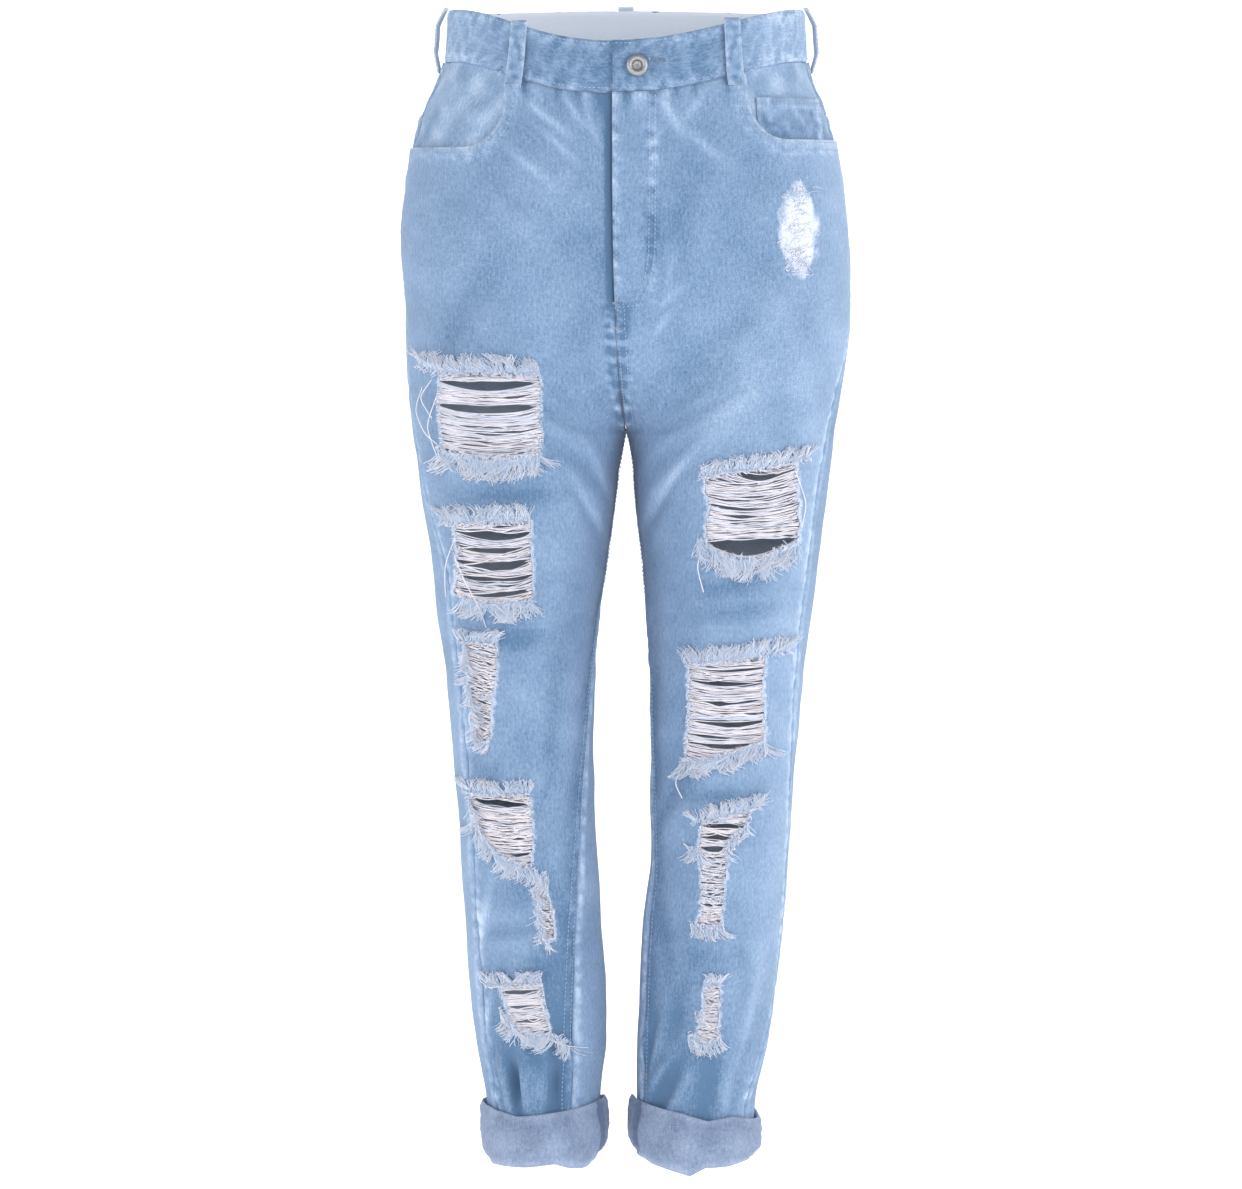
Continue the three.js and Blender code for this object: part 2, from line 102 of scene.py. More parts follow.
FLY_SHIFT = profile([(20, -11), (-217, -9), (-290, -4), (CROTCH, 0)])
OUTSEAM = {
    "left": profile([(-200, 0), (-300, -0.14), (-450, -0.18), (-600, -0.12), (-750, -0.06),
                     (-848, -0.2)]),
    "right": profile([(-200, 0), (-362, -0.12), (-452, -0.21), (-600, -0.21), (-740, -0.2),
                      (-848, -0.2)]),
}
INSEAM = {
    "left": profile([(-420, 0), (-640, 0.11), (-848, 0.15)]),
    "right": profile([(-420, 0), (-637, 0.22), (-804, 0.34), (-848, 0.34)]),
}


def smooth(low, high, x):
    t = np.clip((x - low) / (high - low), 0, 1)
    return t * t * (3 - 2 * t)


def near(off, place, width):
    """1 where off is at this place, falling smoothly to nothing about two widths away."""
    return np.exp(-(((off - place) / width) ** 2))


def on_form(side, q, z):
    """Points in mm on the worn form. q goes from the centre front (-1) by the side (0) to the back (1)."""
    q = np.asarray(q, float)
    z = np.asarray(z, float)
    out = OUTER[side](z)
    within = np.where(z > CROTCH, 0.15, INNER[side](z))
    middle = MIDDLE(z)

    def depth(wave):
        return np.where(wave > 0, BACK(z) - middle, middle - FRONT(z)) * wave

    turn = q * np.pi / 2
    across = np.sign(np.cos(turn)) * np.abs(np.cos(turn)) ** (2 / 2.2)
    along = np.sign(np.sin(turn)) * np.abs(np.sin(turn)) ** (2 / 2.2)
    hip_x = 0.15 + (out - 0.15) * across
    hip_y = middle + depth(along)
    leg_x = (out + within) / 2 + (out - within) / 2 * np.cos(q * np.pi)
    leg_y = middle + depth(np.sin(q * np.pi))
    rise = np.clip((z - CROTCH) / ARCH, 0, 1)
    under = 1 - np.sqrt(np.maximum(0, 1 - (1 - rise) ** 2))
    slow = 1 - smooth(-360, -130, z)
    share = 1 - smooth(0.55, 1, np.abs(q))
    mix = under + (slow - under) * share
    shift = FLY_SHIFT(z) * smooth(0.35, 1, -q)
    x = SIGN[side] * (hip_x + (leg_x - hip_x) * mix) + shift
    y = hip_y + (leg_y - hip_y) * mix
    return np.stack(np.broadcast_arrays(x, y, z), -1)


def outward(side, q, z):
    round_it = on_form(side, q + 0.01, z) - on_form(side, q - 0.01, z)
    up = on_form(side, q, z + 2) - on_form(side, q, z - 2)
    normal = np.cross(round_it, up) * SIGN[side]
    return normal / np.linalg.norm(normal, axis=-1, keepdims=True)


def lifted(side, q, z, height):
    """Points in mm that stand this far out from the form."""
    return on_form(side, q, z) + outward(side, q, z) * np.asarray(height)[..., None]


def q_at(side, x, z, back=False):
    """The place q where the front, or the back, of the form has this x."""
    x = np.asarray(x, float)
    centre_end = np.full(x.shape, 1.0 if back else -1.0)
    side_end = np.zeros(x.shape)
    for _ in range(26):
        half = (centre_end + side_end) / 2
        beyond = SIGN[side] * (on_form(side, half, z)[..., 0] - x) > 0
        centre_end = np.where(beyond, centre_end, half)
        side_end = np.where(beyond, half, side_end)
    return (centre_end + side_end) / 2


def ripple(a, b, seed, size, count=18):
    """A smooth random field of about -1 to 1, from waves about this many mm long."""
    rng = np.random.default_rng(seed)
    total = 0
    for _ in range(count):
        angle = rng.uniform(0, 2 * np.pi)
        length = size * rng.uniform(0.6, 1.6)
        phase = rng.uniform(0, 2 * np.pi)
        total = total + np.sin((a * np.cos(angle) + b * np.sin(angle)) * 2 * np.pi / length + phase)
    return total / np.sqrt(count / 2) * 0.6


def crease_height(q, z, creases):
    """How far the creases draw the cloth in: a trough with a low shoulder on each side."""
    total = np.zeros(np.broadcast(q, z).shape)
    for crease_q, crease_z, turn, width, length, depth in creases:
        across = (q - crease_q) * 170
        up = z - crease_z
        off = across * np.cos(turn) - up * np.sin(turn)
        along = across * np.sin(turn) + up * np.cos(turn)
        trough = near(off, 0, width)
        shoulders = near(np.abs(off), 1.9 * width, width)
        total += depth * (0.4 * shoulders - trough) * near(along, 0, length)
    return total


def seen_creases(side, creases):
    """Creases given as seen from the front, x, z, lean to the right, width, length and depth in mm."""
    placed = []
    for x, z, lean, width, length, depth in creases:
        place = float(q_at(side, np.array(x), np.array(z)))
        placed.append((place, z, lean * SIGN[side], width, length, depth))
    return placed


# The largest folds stand in the solid too; the finer ones are only here.
FRONT_CREASES = {
    "left": [(-0.68, -835, 0.5, 6, 26, 5), (-0.46, -838, 0, 9, 26, 3)] + seen_creases("left", [
        (17, -806, 0.25, 4.5, 26, 3.8), (28, -828, 0.6, 4, 20, 3.6), (40, -770, 0.15, 7, 30, 1.6),
        (24, -500, 0.05, 7, 60, 1.4), (38, -330, 0.75, 6, 34, 1.5), (58, -300, 0.85, 5, 40, 1.3),
        (26, -372, 0.5, 5, 30, 1.4), (86, -455, 1.45, 7, 34, 1.8), (80, -436, 1.3, 6, 26, 1.4),
        (74, -600, 1.5, 6, 30, 1.5), (32, -610, 0.6, 6, 30, 1.2), (92, -730, -0.2, 7, 34, 1.2),
        (88, -820, 0.1, 6, 28, 1.6), (70, -836, -0.2, 4, 18, 1.6), (120, -300, -0.3, 9, 46, 1.1),
        (30, -715, -0.25, 6, 34, 1.2), (140, -230, -0.5, 9, 34, 0.9), (60, -250, 0.7, 8, 40, 0.7)]),
    "right": [(-0.35, -828, 0.15, 5, 26, 5), (-0.57, -832, -0.1, 7, 28, 4)] + seen_creases("right", [
        (-87, -826, 0.1, 4.0, 20, 4.6), (-104, -843, -0.5, 3.5, 12, 3.2), (-54, -826, -0.1, 5, 24, 3.4),
        (-36, -812, -0.2, 5, 26, 1.4), (-70, -806, -0.5, 4.5, 16, 1.6), (-38, -340, -0.7, 6, 34, 1.5),
        (-60, -300, -0.8, 5, 36, 0.9), (-30, -378, -0.5, 5, 30, 1.4), (-92, -365, 1.5, 6, 36, 1.6),
        (-84, -478, 1.35, 7, 30, 1.5), (-56, -540, 0.1, 7, 50, 1.3), (-64, -600, 0.5, 5, 26, 0.9),
        (-52, -690, -0.3, 7, 40, 1.3), (-96, -706, 1.4, 6, 22, 1.6), (-130, -230, 0.6, 9, 40, 0.9),
        (-60, -760, -0.2, 6, 30, 1.0), (-104, -808, 0.3, 4.5, 22, 1.5), (-145, -300, 0.3, 8, 40, 0.9)]),
}

# Pale streaks where folds have rubbed, and darker patches where the last number is below zero: x, z, lean to
# the right, width and length in mm, and how pale.
STREAKS = {
    "left": [(34, -72, -0.5, 3, 16, 0.9), (52, -66, 0.6, 3, 14, 0.8), (22, -92, 0.5, 3, 12, 0.7),
             (60, -96, -0.9, 3.5, 18, 0.7), (44, -150, 0.1, 12, 60, -0.25), (20, -163, 0, 6, 26, -1.1),
             (34, -212, 0.9, 3, 14, 0.7),
             (28, -232, 0.6, 3, 12, 0.7), (0, -228, 0.1, 4, 13, -1.0), (34, -192, 0.2, 3, 16, 0.5),
             (28, -365, 0.55, 3, 26, 0.9), (40, -345, 0.7, 3, 26, 0.7),
             (78, -300, 0.9, 14, 50, 0.45), (100, -262, 0.5, 16, 40, 0.35), (96, -780, 0.2, 4, 40, 0.6)],
    "right": [(-62, -74, -0.9, 3, 22, 0.9), (-52, -96, -0.8, 3, 20, 0.7), (-74, -112, -0.9, 3.5, 24, 0.6),
              (-40, -70, -0.6, 3, 14, 0.8), (-26, -82, -0.4, 3, 14, 0.6), (-30, -372, -0.5, 3, 26, 0.8),
              (-20, -350, -0.4, 3, 22, 0.6), (-90, -150, -0.8, 10, 50, 0.25), (-112, -700, 0.2, 4, 30, 0.9),
              (-110, -780, 0.15, 3.5, 36, 0.8), (-42, -800, 0.1, 3, 30, 0.6)],
}

# How much painted shade darkens the cloth at each ankle.
ANKLE_SHADE = {"left": 0.5, "right": 0.65}

# Torn holes as corners x, z, in mm, on the front of each leg.
RIPS = {
    "right": [
        [(-143, -272), (-122, -269), (-95, -270), (-67, -272), (-66, -300), (-66, -334), (-85, -338),
         (-104, -339), (-124, -336), (-141, -331), (-145, -300)],
        [(-134, -388), (-118, -385), (-95, -384), (-74, -384), (-73, -415), (-72, -447), (-90, -450),
         (-104, -450), (-122, -447), (-133, -440), (-130, -415)],
        [(-125, -480), (-112, -478), (-101, -480), (-100, -500), (-103, -524), (-107, -558),
         (-115, -558), (-119, -540), (-121, -515)],
        [(-123, -602), (-100, -598), (-75, -598), (-73, -625), (-74, -657), (-86, -655), (-97, -650),
         (-107, -640), (-114, -627), (-120, -614)],
        [(-72, -672), (-64, -670), (-58, -690), (-57, -712), (-66, -714), (-69, -696)],
        [(-99, -750), (-84, -747), (-68, -747), (-65, -765), (-59, -787), (-72, -789), (-84, -786),
         (-92, -770)],
    ],
    "left": [
        [(60, -351), (78, -346), (104, -343), (131, -340), (133, -370), (133, -402), (118, -408),
         (103, -415), (90, -417), (76, -414), (61, -400), (64, -376)],
        [(49, -496), (70, -493), (90, -491), (107, -489), (106, -520), (108, -557), (90, -563),
         (66, -570), (46, -575), (49, -540)],
        [(59, -619), (78, -614), (96, -612), (92, -624), (79, -641), (76, -668), (74, -701),
         (66, -704), (57, -700), (59, -670), (57, -642)],
        [(62, -749), (68, -746), (73, -748), (72, -770), (72, -790), (63, -794), (54, -790),
         (60, -770)],
    ],
}
POCKETS = {"left": (91, 124, -91), "right": (92, 126, -97)}


def wobbly(corners, seed, amount):
    """A closed outline through the corners, in 1.5 mm steps, made uneven as a tear is."""
    rng = np.random.default_rng(seed)
    points = []
    for (x0, z0), (x1, z1) in zip(corners, corners[1:] + corners[:1]):
        steps = max(2, int(math.hypot(x1 - x0, z1 - z0) / 1.5))
        for i in range(steps):
            points.append((x0 + (x1 - x0) * i / steps, z0 + (z1 - z0) * i / steps))
    points = np.array(points)
    push = rng.normal(0, 1, points.shape)
    push = (push + np.roll(push, 1, 0) + np.roll(push, -1, 0)) / 3
    return points + push * amount


def pocket_mouth(side):
    edge, turn, bottom = POCKETS[side]
    corner = [(turn - (turn - edge - 2) * math.cos(a), bottom + 38 - 38 * math.sin(a))
              for a in np.linspace(0, math.pi / 2, 14)]
    mouth = [(edge - 1, -15)] + corner + [(190, bottom + 1), (190, -15)]
    return np.array([(SIGN[side] * x, z) for x, z in mouth])


def inside_outline(x, z, outline):
    within = np.zeros(x.shape, bool)
    for (x0, z0), (x1, z1) in zip(outline, np.roll(outline, -1, 0)):
        if z0 == z1:
            continue
        crosses = (z0 > z) != (z1 > z)
        within ^= crosses & (x < (x1 - x0) * (z - z0) / (z1 - z0) + x0)
    return within


def nearest_on(x, z, outline):
    """The nearest point of a closed outline to each x, z, and how far off it is."""
    best = np.full(x.shape, 1e9)
    best_x = x.copy()
    best_z = z.copy()
    for (x0, z0), (x1, z1) in zip(outline, np.roll(outline, -1, 0)):
        run = np.array([x1 - x0, z1 - z0])
        t = np.clip(((x - x0) * run[0] + (z - z0) * run[1]) / max(run @ run, 1e-9), 0, 1)
        near_x = x0 + t * run[0]
        near_z = z0 + t * run[1]
        off = np.hypot(x - near_x, z - near_z)
        closer = off < best
        best = np.where(closer, off, best)
        best_x = np.where(closer, near_x, best_x)
        best_z = np.where(closer, near_z, best_z)
    return best_x, best_z, best


def linear(hexcode):
    """An sRGB hex colour as linear values with full alpha."""
    values = [int(hexcode[i:i + 2], 16) / 255 for i in (1, 3, 5)]
    return tuple(v / 12.92 if v <= 0.04045 else ((v + 0.055) / 1.055) ** 2.4 for v in values) + (1.0,)


def add_node(tree, kind, inputs=(), **settings):
    """Adds a node. inputs maps a socket's name or number to a value or to another node's output."""
    node = tree.nodes.new(kind)
    for name, value in settings.items():
        setattr(node, name, value)
    for key, value in dict(inputs).items():
        if isinstance(value, bpy.types.NodeSocket):
            tree.links.new(value, node.inputs[key])
        else:
            node.inputs[key].default_value = value
    return node


def blend(tree, share, first, second):
    """A colour from the first to the second as the share goes from 0 to 1."""
    mix = add_node(tree, "ShaderNodeMix", {"Factor": share, 6: first, 7: second}, data_type="RGBA")
    return mix.outputs[2]


def finish_material(tree, looks):
    shader = add_node(tree, "ShaderNodeBsdfPrincipled", looks)
    add_node(tree, "ShaderNodeOutputMaterial", {"Surface": shader.outputs[0]})


def smooth_piece(name, points, faces, material):
    """A smooth-shaded mesh object from points in metres, linked into the scene."""
    mesh = bpy.data.meshes.new(name)
    mesh.from_pydata(np.asarray(points).tolist(), [], faces)
    mesh.polygons.foreach_set("use_smooth", np.ones(len(faces), bool))
    mesh.materials.append(material)
    piece = bpy.data.objects.new(name, mesh)
    bpy.context.scene.collection.objects.link(piece)
    return piece


def new_material(name):
    material = bpy.data.materials.new(name)
    material.use_nodes = True
    material.node_tree.nodes.clear()
    return material, material.node_tree


# Light-washed rigid denim, ring spun and woven in a right-hand twill, then bleached and tumbled.
# Up and down slubs give short pale streaks, worn high spots turn pale and torn edges turn white.
# The real twill is 0.5 mm from rib to rib, too fine to show, so it is drawn at 1.7 mm.
def denim(name, face, deep, pale, back):
    material, tree = new_material(name)
    uv = add_node(tree, "ShaderNodeUVMap", uv_map="cloth").outputs[0]
    slub_place = add_node(tree, "ShaderNodeMapping", {"Vector": uv, "Scale": (1.0, 0.14, 1.0)}).outputs[0]
    slubs = add_node(tree, "ShaderNodeTexNoise", {"Vector": slub_place, "Scale": 640.0, "Detail": 3.0,
                                                  "Roughness": 0.65}).outputs[0]
    speck_place = add_node(tree, "ShaderNodeMapping", {"Vector": uv, "Scale": (1.0, 0.55, 1.0)}).outputs[0]
    specks = add_node(tree, "ShaderNodeTexNoise", {"Vector": speck_place, "Scale": 520.0, "Detail": 2.0,
                                                   "Roughness": 0.8}).outputs[0]
    clouds = add_node(tree, "ShaderNodeTexNoise", {"Vector": uv, "Scale": 26.0, "Detail": 4.0,
                                                   "Roughness": 0.6}).outputs[0]
    twill_place = add_node(tree, "ShaderNodeMapping", {"Vector": uv, "Rotation": (0.0, 0.0, 1.1)}).outputs[0]
    twill = add_node(tree, "ShaderNodeTexWave", {"Vector": twill_place, "Scale": 185.0, "Distortion": 1.2,
                                                 "Detail": 2.0, "Detail Scale": 4.0}).outputs[1]
    # This mark holds the fading of the wash and also painted shade and light laid on by each piece: painted
    # shade in creases, recesses and below the tears, and painted light on the sides that face the lamps.
    wash_and_shading = add_node(tree, "ShaderNodeAttribute", attribute_name="wash_and_shading").outputs["Fac"]
    fray = add_node(tree, "ShaderNodeAttribute", attribute_name="fray").outputs["Fac"]
    reverse = add_node(tree, "ShaderNodeAttribute", attribute_name="reverse").outputs["Fac"]

    def weigh(value, share, plus):
        sum_node = add_node(tree, "ShaderNodeMath", {0: value, 1: share, 2: plus}, operation="MULTIPLY_ADD")
        return sum_node.outputs[0]

    tone = weigh(slubs, 0.5, -0.49)
    tone = weigh(specks, 0.75, tone)
    tone = weigh(clouds, 0.3, tone)
    tone = weigh(twill, 0.07, tone)
    tone = weigh(wash_and_shading, 0.42, tone)
    ramp = add_node(tree, "ShaderNodeValToRGB", {"Fac": tone})
    ramp.color_ramp.elements[0].position = 0.0
    ramp.color_ramp.elements[0].color = linear(deep)
    ramp.color_ramp.elements[1].position = 1.0
    ramp.color_ramp.elements[1].color = linear(pale)
    middle = ramp.color_ramp.elements.new(0.5)
    middle.color = linear(face)
    turned = blend(tree, reverse, ramp.outputs[0], linear(back))
    thready = weigh(specks, 1.2, weigh(fray, 1.5, -1.15))
    white = add_node(tree, "ShaderNodeClamp", {"Value": thready}).outputs[0]
    colour = blend(tree, white, turned, linear("#D5DDEE"))
    relief = weigh(slubs, 0.6, weigh(specks, 0.5, weigh(twill, 0.25, 0.0)))
    bump = add_node(tree, "ShaderNodeBump", {"Height": relief, "Strength": 0.5,
                                             "Distance": 0.0007}).outputs[0]
    finish_material(tree, {"Base Color": colour, "Normal": bump, "Roughness": 0.92,
                           "Specular IOR Level": 0.25, "Sheen Weight": 0.12, "Sheen Roughness": 0.6})
    return material


DENIM = denim("light_washed_denim", "#869FBF", "#527193", "#BACCE2", "#D5DDEA")


def set_mark(mesh, mark, values):
    """Keeps one number for each point of a mesh, for its material or its node tree to read."""
    layer = mesh.attributes.new(mark, "FLOAT", "POINT")
    layer.data.foreach_set("value", np.asarray(values, np.float32))


def shell(name, side_sign, outer, inner, across, along, wash_and_shading, fray=0.0, alive=None):
    """A closed sheet of denim from two grids of points in mm, with its weave's lengths as its UV map."""
    rows, columns = outer.shape[:2]
    alive = np.ones((rows - 1, columns - 1), bool) if alive is None else alive
    count = rows * columns
    index = np.arange(count).reshape(rows, columns)
    a, b, c, d = index[:-1, :-1], index[1:, :-1], index[1:, 1:], index[:-1, 1:]
    quads = np.stack([a, b, c, d], -1)[alive]
    faces = [quads, quads[:, ::-1] + count]
    padded = np.pad(alive, 1)
    sides = (((slice(None, -2), slice(1, -1)), d, a), ((slice(2, None), slice(1, -1)), b, c),
             ((slice(1, -1), slice(None, -2)), a, b), ((slice(1, -1), slice(2, None)), c, d))
    for neighbour, start, end in sides:
        edge = alive & ~padded[neighbour]
        start, end = start[edge], end[edge]
        faces.append(np.stack([end, start, start + count, end + count], -1))
    faces = np.concatenate(faces)
    if side_sign < 0:
        faces = faces[:, ::-1]
    points = np.concatenate([outer.reshape(-1, 3), inner.reshape(-1, 3)]) * MM
    used, faces = np.unique(faces, return_inverse=True)
    faces = faces.reshape(-1, 4)
    piece = smooth_piece(name + "_cloth", points[used], faces.tolist(), DENIM)
    mesh = piece.data
    uv = np.stack([np.tile(across.ravel(), 2), np.tile(along.ravel(), 2)], -1)[used] * MM
    layer = mesh.uv_layers.new(name="cloth")
    layer.data.foreach_set("uv", uv[faces.ravel()].ravel())
    for mark, values in (("wash_and_shading", wash_and_shading), ("fray", fray)):
        one_side = np.broadcast_to(values, (rows, columns)).ravel()
        set_mark(mesh, mark, np.tile(one_side, 2)[used])
    set_mark(mesh, "reverse", np.repeat([0.0, 1.0], count)[used])
    mesh.validate()
    return piece


def run_across(points, grain=None):
    """Length in mm along each row, from the middle column or from a straight grain line down a leg."""
    steps = np.linalg.norm(np.diff(points, axis=1), axis=-1)
    total = np.concatenate([np.zeros((len(points), 1)), np.cumsum(steps, axis=1)], 1)
    if grain is None:
        return total - total[:, [points.shape[1] // 2]]
    x = np.abs(points[..., 0])
    target = grain + 0.03 * np.minimum(points[:, 0, 2] + 140, 0)
    start = [np.interp(t, np.maximum.accumulate(row), run) for t, row, run in zip(target, x, total)]
    return total - np.array(start)[:, None]


def waist_top(q):
    lift = np.abs(np.sin(q * np.pi / 2)) ** 4
    return 11 + (np.where(q < 0, -15, 15) - 11) * lift


def waist_seam(q):
    return waist_top(q) - BAND_HEIGHT


def yoke_seam(q):
    return waist_seam(q) - 40 - 26 * np.abs(q)


def spaced(count, dense):
    """Steps from 0 to 1 that are closer near both ends, where seams are."""
    t = np.linspace(0, 1, count)
    return t - dense * np.sin(2 * np.pi * t) / (2 * np.pi)


def panel_grid(start, end, seam, side, columns, step):
    """q and z of a panel's grid: rows follow the upper seam and become level down the hips."""
    u = spaced(columns, 0.55)[None, :]
    level = -140.0
    q_level = start(level) + (end(level) - start(level)) * u
    top = seam(q_level) - 0.3
    parts = np.linspace(0, 1, int(90 / step) + 1)[:-1, None]
    upper_z = top + (level - top) * parts
    upper_q = np.broadcast_to(q_level, upper_z.shape)
    bottom = CUFF_FOLD[side] + 8
    lower = np.linspace(level, bottom, int((level - bottom) / step) + 1)[:, None]
    lower_q = start(lower) + (end(lower) - start(lower)) * u
    q = np.concatenate([upper_q, lower_q])
    z = np.concatenate([upper_z, np.broadcast_to(lower, lower_q.shape)])
    return q, z


def seam_ridge(off, along, seed):
    """A felled seam: it stands up by its extra layers and puckers along its stitching."""
    pucker = ripple(along, off * 0.6, seed, 9)
    ridge = 0.9 * near(off, 4.5, 3.6) - 0.9 * near(off, 0, 1.1)
    return ridge + 0.38 * pucker * near(off, 0, 9), pucker


for side in ("left", "right"):
    q, z = panel_grid(lambda h: -1 + INSEAM[side](h), OUTSEAM[side],
                      waist_seam, side, 76, 2.7)
    form = on_form(side, q, z)
    x = form[..., 0]
    across = run_across(form, 85)
    off_inner = across - across[:, :1]
    off_outer = across[:, -1:] - across
    down = waist_seam(q) - z

    # torn holes and the pocket mouth: cells inside are left out, and edges are drawn to the outline
    outlines = [wobbly(corners, 11 + i, 1.3) for i, corners in enumerate(RIPS[side])]
    holes = outlines + [pocket_mouth(side)]
    speed = (on_form(side, q + 0.005, z) - on_form(side, q - 0.005, z))[..., 0] / 0.01
    mid_x = (x[:-1, :-1] + x[1:, 1:] + x[1:, :-1] + x[:-1, 1:]) / 4
    mid_z = (z[:-1, :-1] + z[1:, 1:] + z[1:, :-1] + z[:-1, 1:]) / 4
    fray = np.zeros(x.shape)
    painted_tear_shadow = np.zeros(x.shape)
    mouth_off = np.full(x.shape, 99.0)
    alive = np.ones(mid_x.shape, bool)
    moved_q = q.copy()
    moved_z = z.copy()
    for number, outline in enumerate(holes):
        dead = inside_outline(mid_x, mid_z, outline)
        alive &= ~dead
        touched = np.zeros(x.shape, bool)
        whole = np.zeros(x.shape, bool)
        for rows, columns in ((slice(None, -1), slice(None, -1)), (slice(1, None), slice(None, -1)),
                              (slice(None, -1), slice(1, None)), (slice(1, None), slice(1, None))):
            touched[rows, columns] |= dead
            whole[rows, columns] |= ~dead
        edge = touched & whole
        near_x, near_z, off = nearest_on(x, z, outline)
        if number < len(outlines):
            fray = np.maximum(fray, 0.85 * near(off, 0, 2.8))
            low = outline[:, 1].min()
            aside = np.abs(x - outline[:, 0].mean()) - np.ptp(outline[:, 0]) / 2
            # painted shadow on the cloth just below each tear, where its fringe hangs
            painted_tear_shadow = np.maximum(painted_tear_shadow, near(z, low - 20, 11) * smooth(8, -4, aside))
        else:
            mouth_off = off
        edge &= off < 6
        move = (near_x - x) / np.where(np.abs(speed) < 20, 20, speed)
        moved_q = np.where(edge, q + np.clip(move, -0.03, 0.03), moved_q)
        moved_z = np.where(edge, near_z, moved_z)
    q, z = moved_q, moved_z

    height = crease_height(q, z, FRONT_CREASES[side])
    height += 0.55 * ripple(x, z * 0.6, 5, 55) + 0.22 * ripple(x, z * 0.7, 6, 22)
    # painted shade: darker in the crease troughs and dips, paler on the raised folds where they rub and fade;
    # the painted shadow below the tears is taken off here
    wash_and_shading = 0.2 * np.clip(height, -4, 2) - 0.3 * painted_tear_shadow
    # painted shade at the ankles
    wash_and_shading -= ANKLE_SHADE[side] * smooth(-690, -825, z)
    # painted light: paler towards the outer side of each front, more so on the wearer's left leg, which faces
    # the key lamp
    wash_and_shading += 0.5 * smooth(-0.62, -0.2, q) * (1 if side == "left" else 0.25) - 0.1
    # painted shade: darker near the inseam below the crotch, where the legs face each other
    wash_and_shading -= 0.7 * smooth(26, 0, off_inner) * smooth(-300, -380, z)
    inner_ridge, inner_pucker = seam_ridge(off_inner, z, 21)
    outer_ridge, outer_pucker = seam_ridge(off_outer, z, 22)
    below = smooth(-205, -225, z)
    height += outer_ridge + inner_ridge * below
    wash_and_shading += (0.6 + 0.45 * outer_pucker) * near(off_outer, 4, 4.0)
    seat = smooth(-380, -310, z)
    # pale puckers where the inseam fades; near the crotch the seam is also darker overall as painted shade of
    # the fold between the legs
    inseam_fade_and_shade = (0.3 + 0.3 * inner_pucker) * (1 - seat) + (1.1 * inner_pucker - 0.35) * seat
    wash_and_shading += inseam_fade_and_shade * near(off_inner, 4, 5.0) * below
    # the left front laps over the right one down the fly
    lap = 1 - below
    if side == "left":
        height += lap * 1.5 * (1 - smooth(0, 34, off_inner))
        rope = ripple(z, off_inner, 31, 11)
        wash_and_shading += lap * (0.55 + 0.7 * rope) * near(off_inner, 0, 4.5)
        height += lap * 0.3 * rope * near(off_inner, 0, 7)
        stitch_off = np.abs(x - 19.8)
        wash_and_shading += lap * (0.35 + 0.6 * ripple(z, x, 32, 10)) * near(stitch_off, 0, 5)
        height -= lap * 0.5 * near(x, 25, 3)
    else:
        height -= lap * 3.0 * (1 - smooth(2, 20, off_inner))
        # painted shadow on the right front where the left front's edge laps over it
        wash_and_shading -= lap * 2.2 * (1 - smooth(0, 8, off_inner))
    # gathered a little into the waistband
    waves = ripple(across, z * 0.15, 41, 13)
    height += 0.5 * waves * near(down, 0, 10) - 0.7 * near(down, 0, 2.5)
    wash_and_shading += (0.1 + 0.8 * waves) * near(down, 0, 13)
    for streak_x, streak_z, lean, width, length, pale in STREAKS[side]:
        off = (x - streak_x) * math.cos(lean) - (z - streak_z) * math.sin(lean)
        far = (x - streak_x) * math.sin(lean) + (z - streak_z) * math.cos(lean)
        wash_and_shading += pale * np.exp(-((off / width) ** 2) - (far / length) ** 2)
    # the folded edge of the pocket mouth stands off its facing
    height += 1.1 * near(mouth_off, 0, 9)
    wash_and_shading += (1.3 + 0.5 * ripple(x, z, 42, 9)) * near(mouth_off, 0, 2.8)
    wash_and_shading += (0.35 + 0.5 * ripple(x, z, 43, 10)) * near(mouth_off, 8, 3.0)
    # torn edges curl outwards
    height += 1.3 * fray
    if side == "left":
        worn = np.hypot((x - 133) / 17, (z + 161) / 38)
        edge_wobble = 0.16 * ripple(x * 2.2, z * 0.8, 51, 14)
        fray = np.maximum(fray, 1.1 * (1 - smooth(0.55, 1.25, worn + edge_wobble)))

    outer = lifted(side, q, z, height)
    inner = lifted(side, q, z, height - CLOTH)
    panel = shell(f"front_{side}", SIGN[side], outer, inner, across, z, wash_and_shading, fray, alive)
    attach(panel, "root")
    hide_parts(f"front_{side}")

# ---- Back panels ----
# The backs are the wider panels, of the same denim. They are sewn to each other down the seat, to the
# fronts at the side seams and inseams, and hang from the yokes.

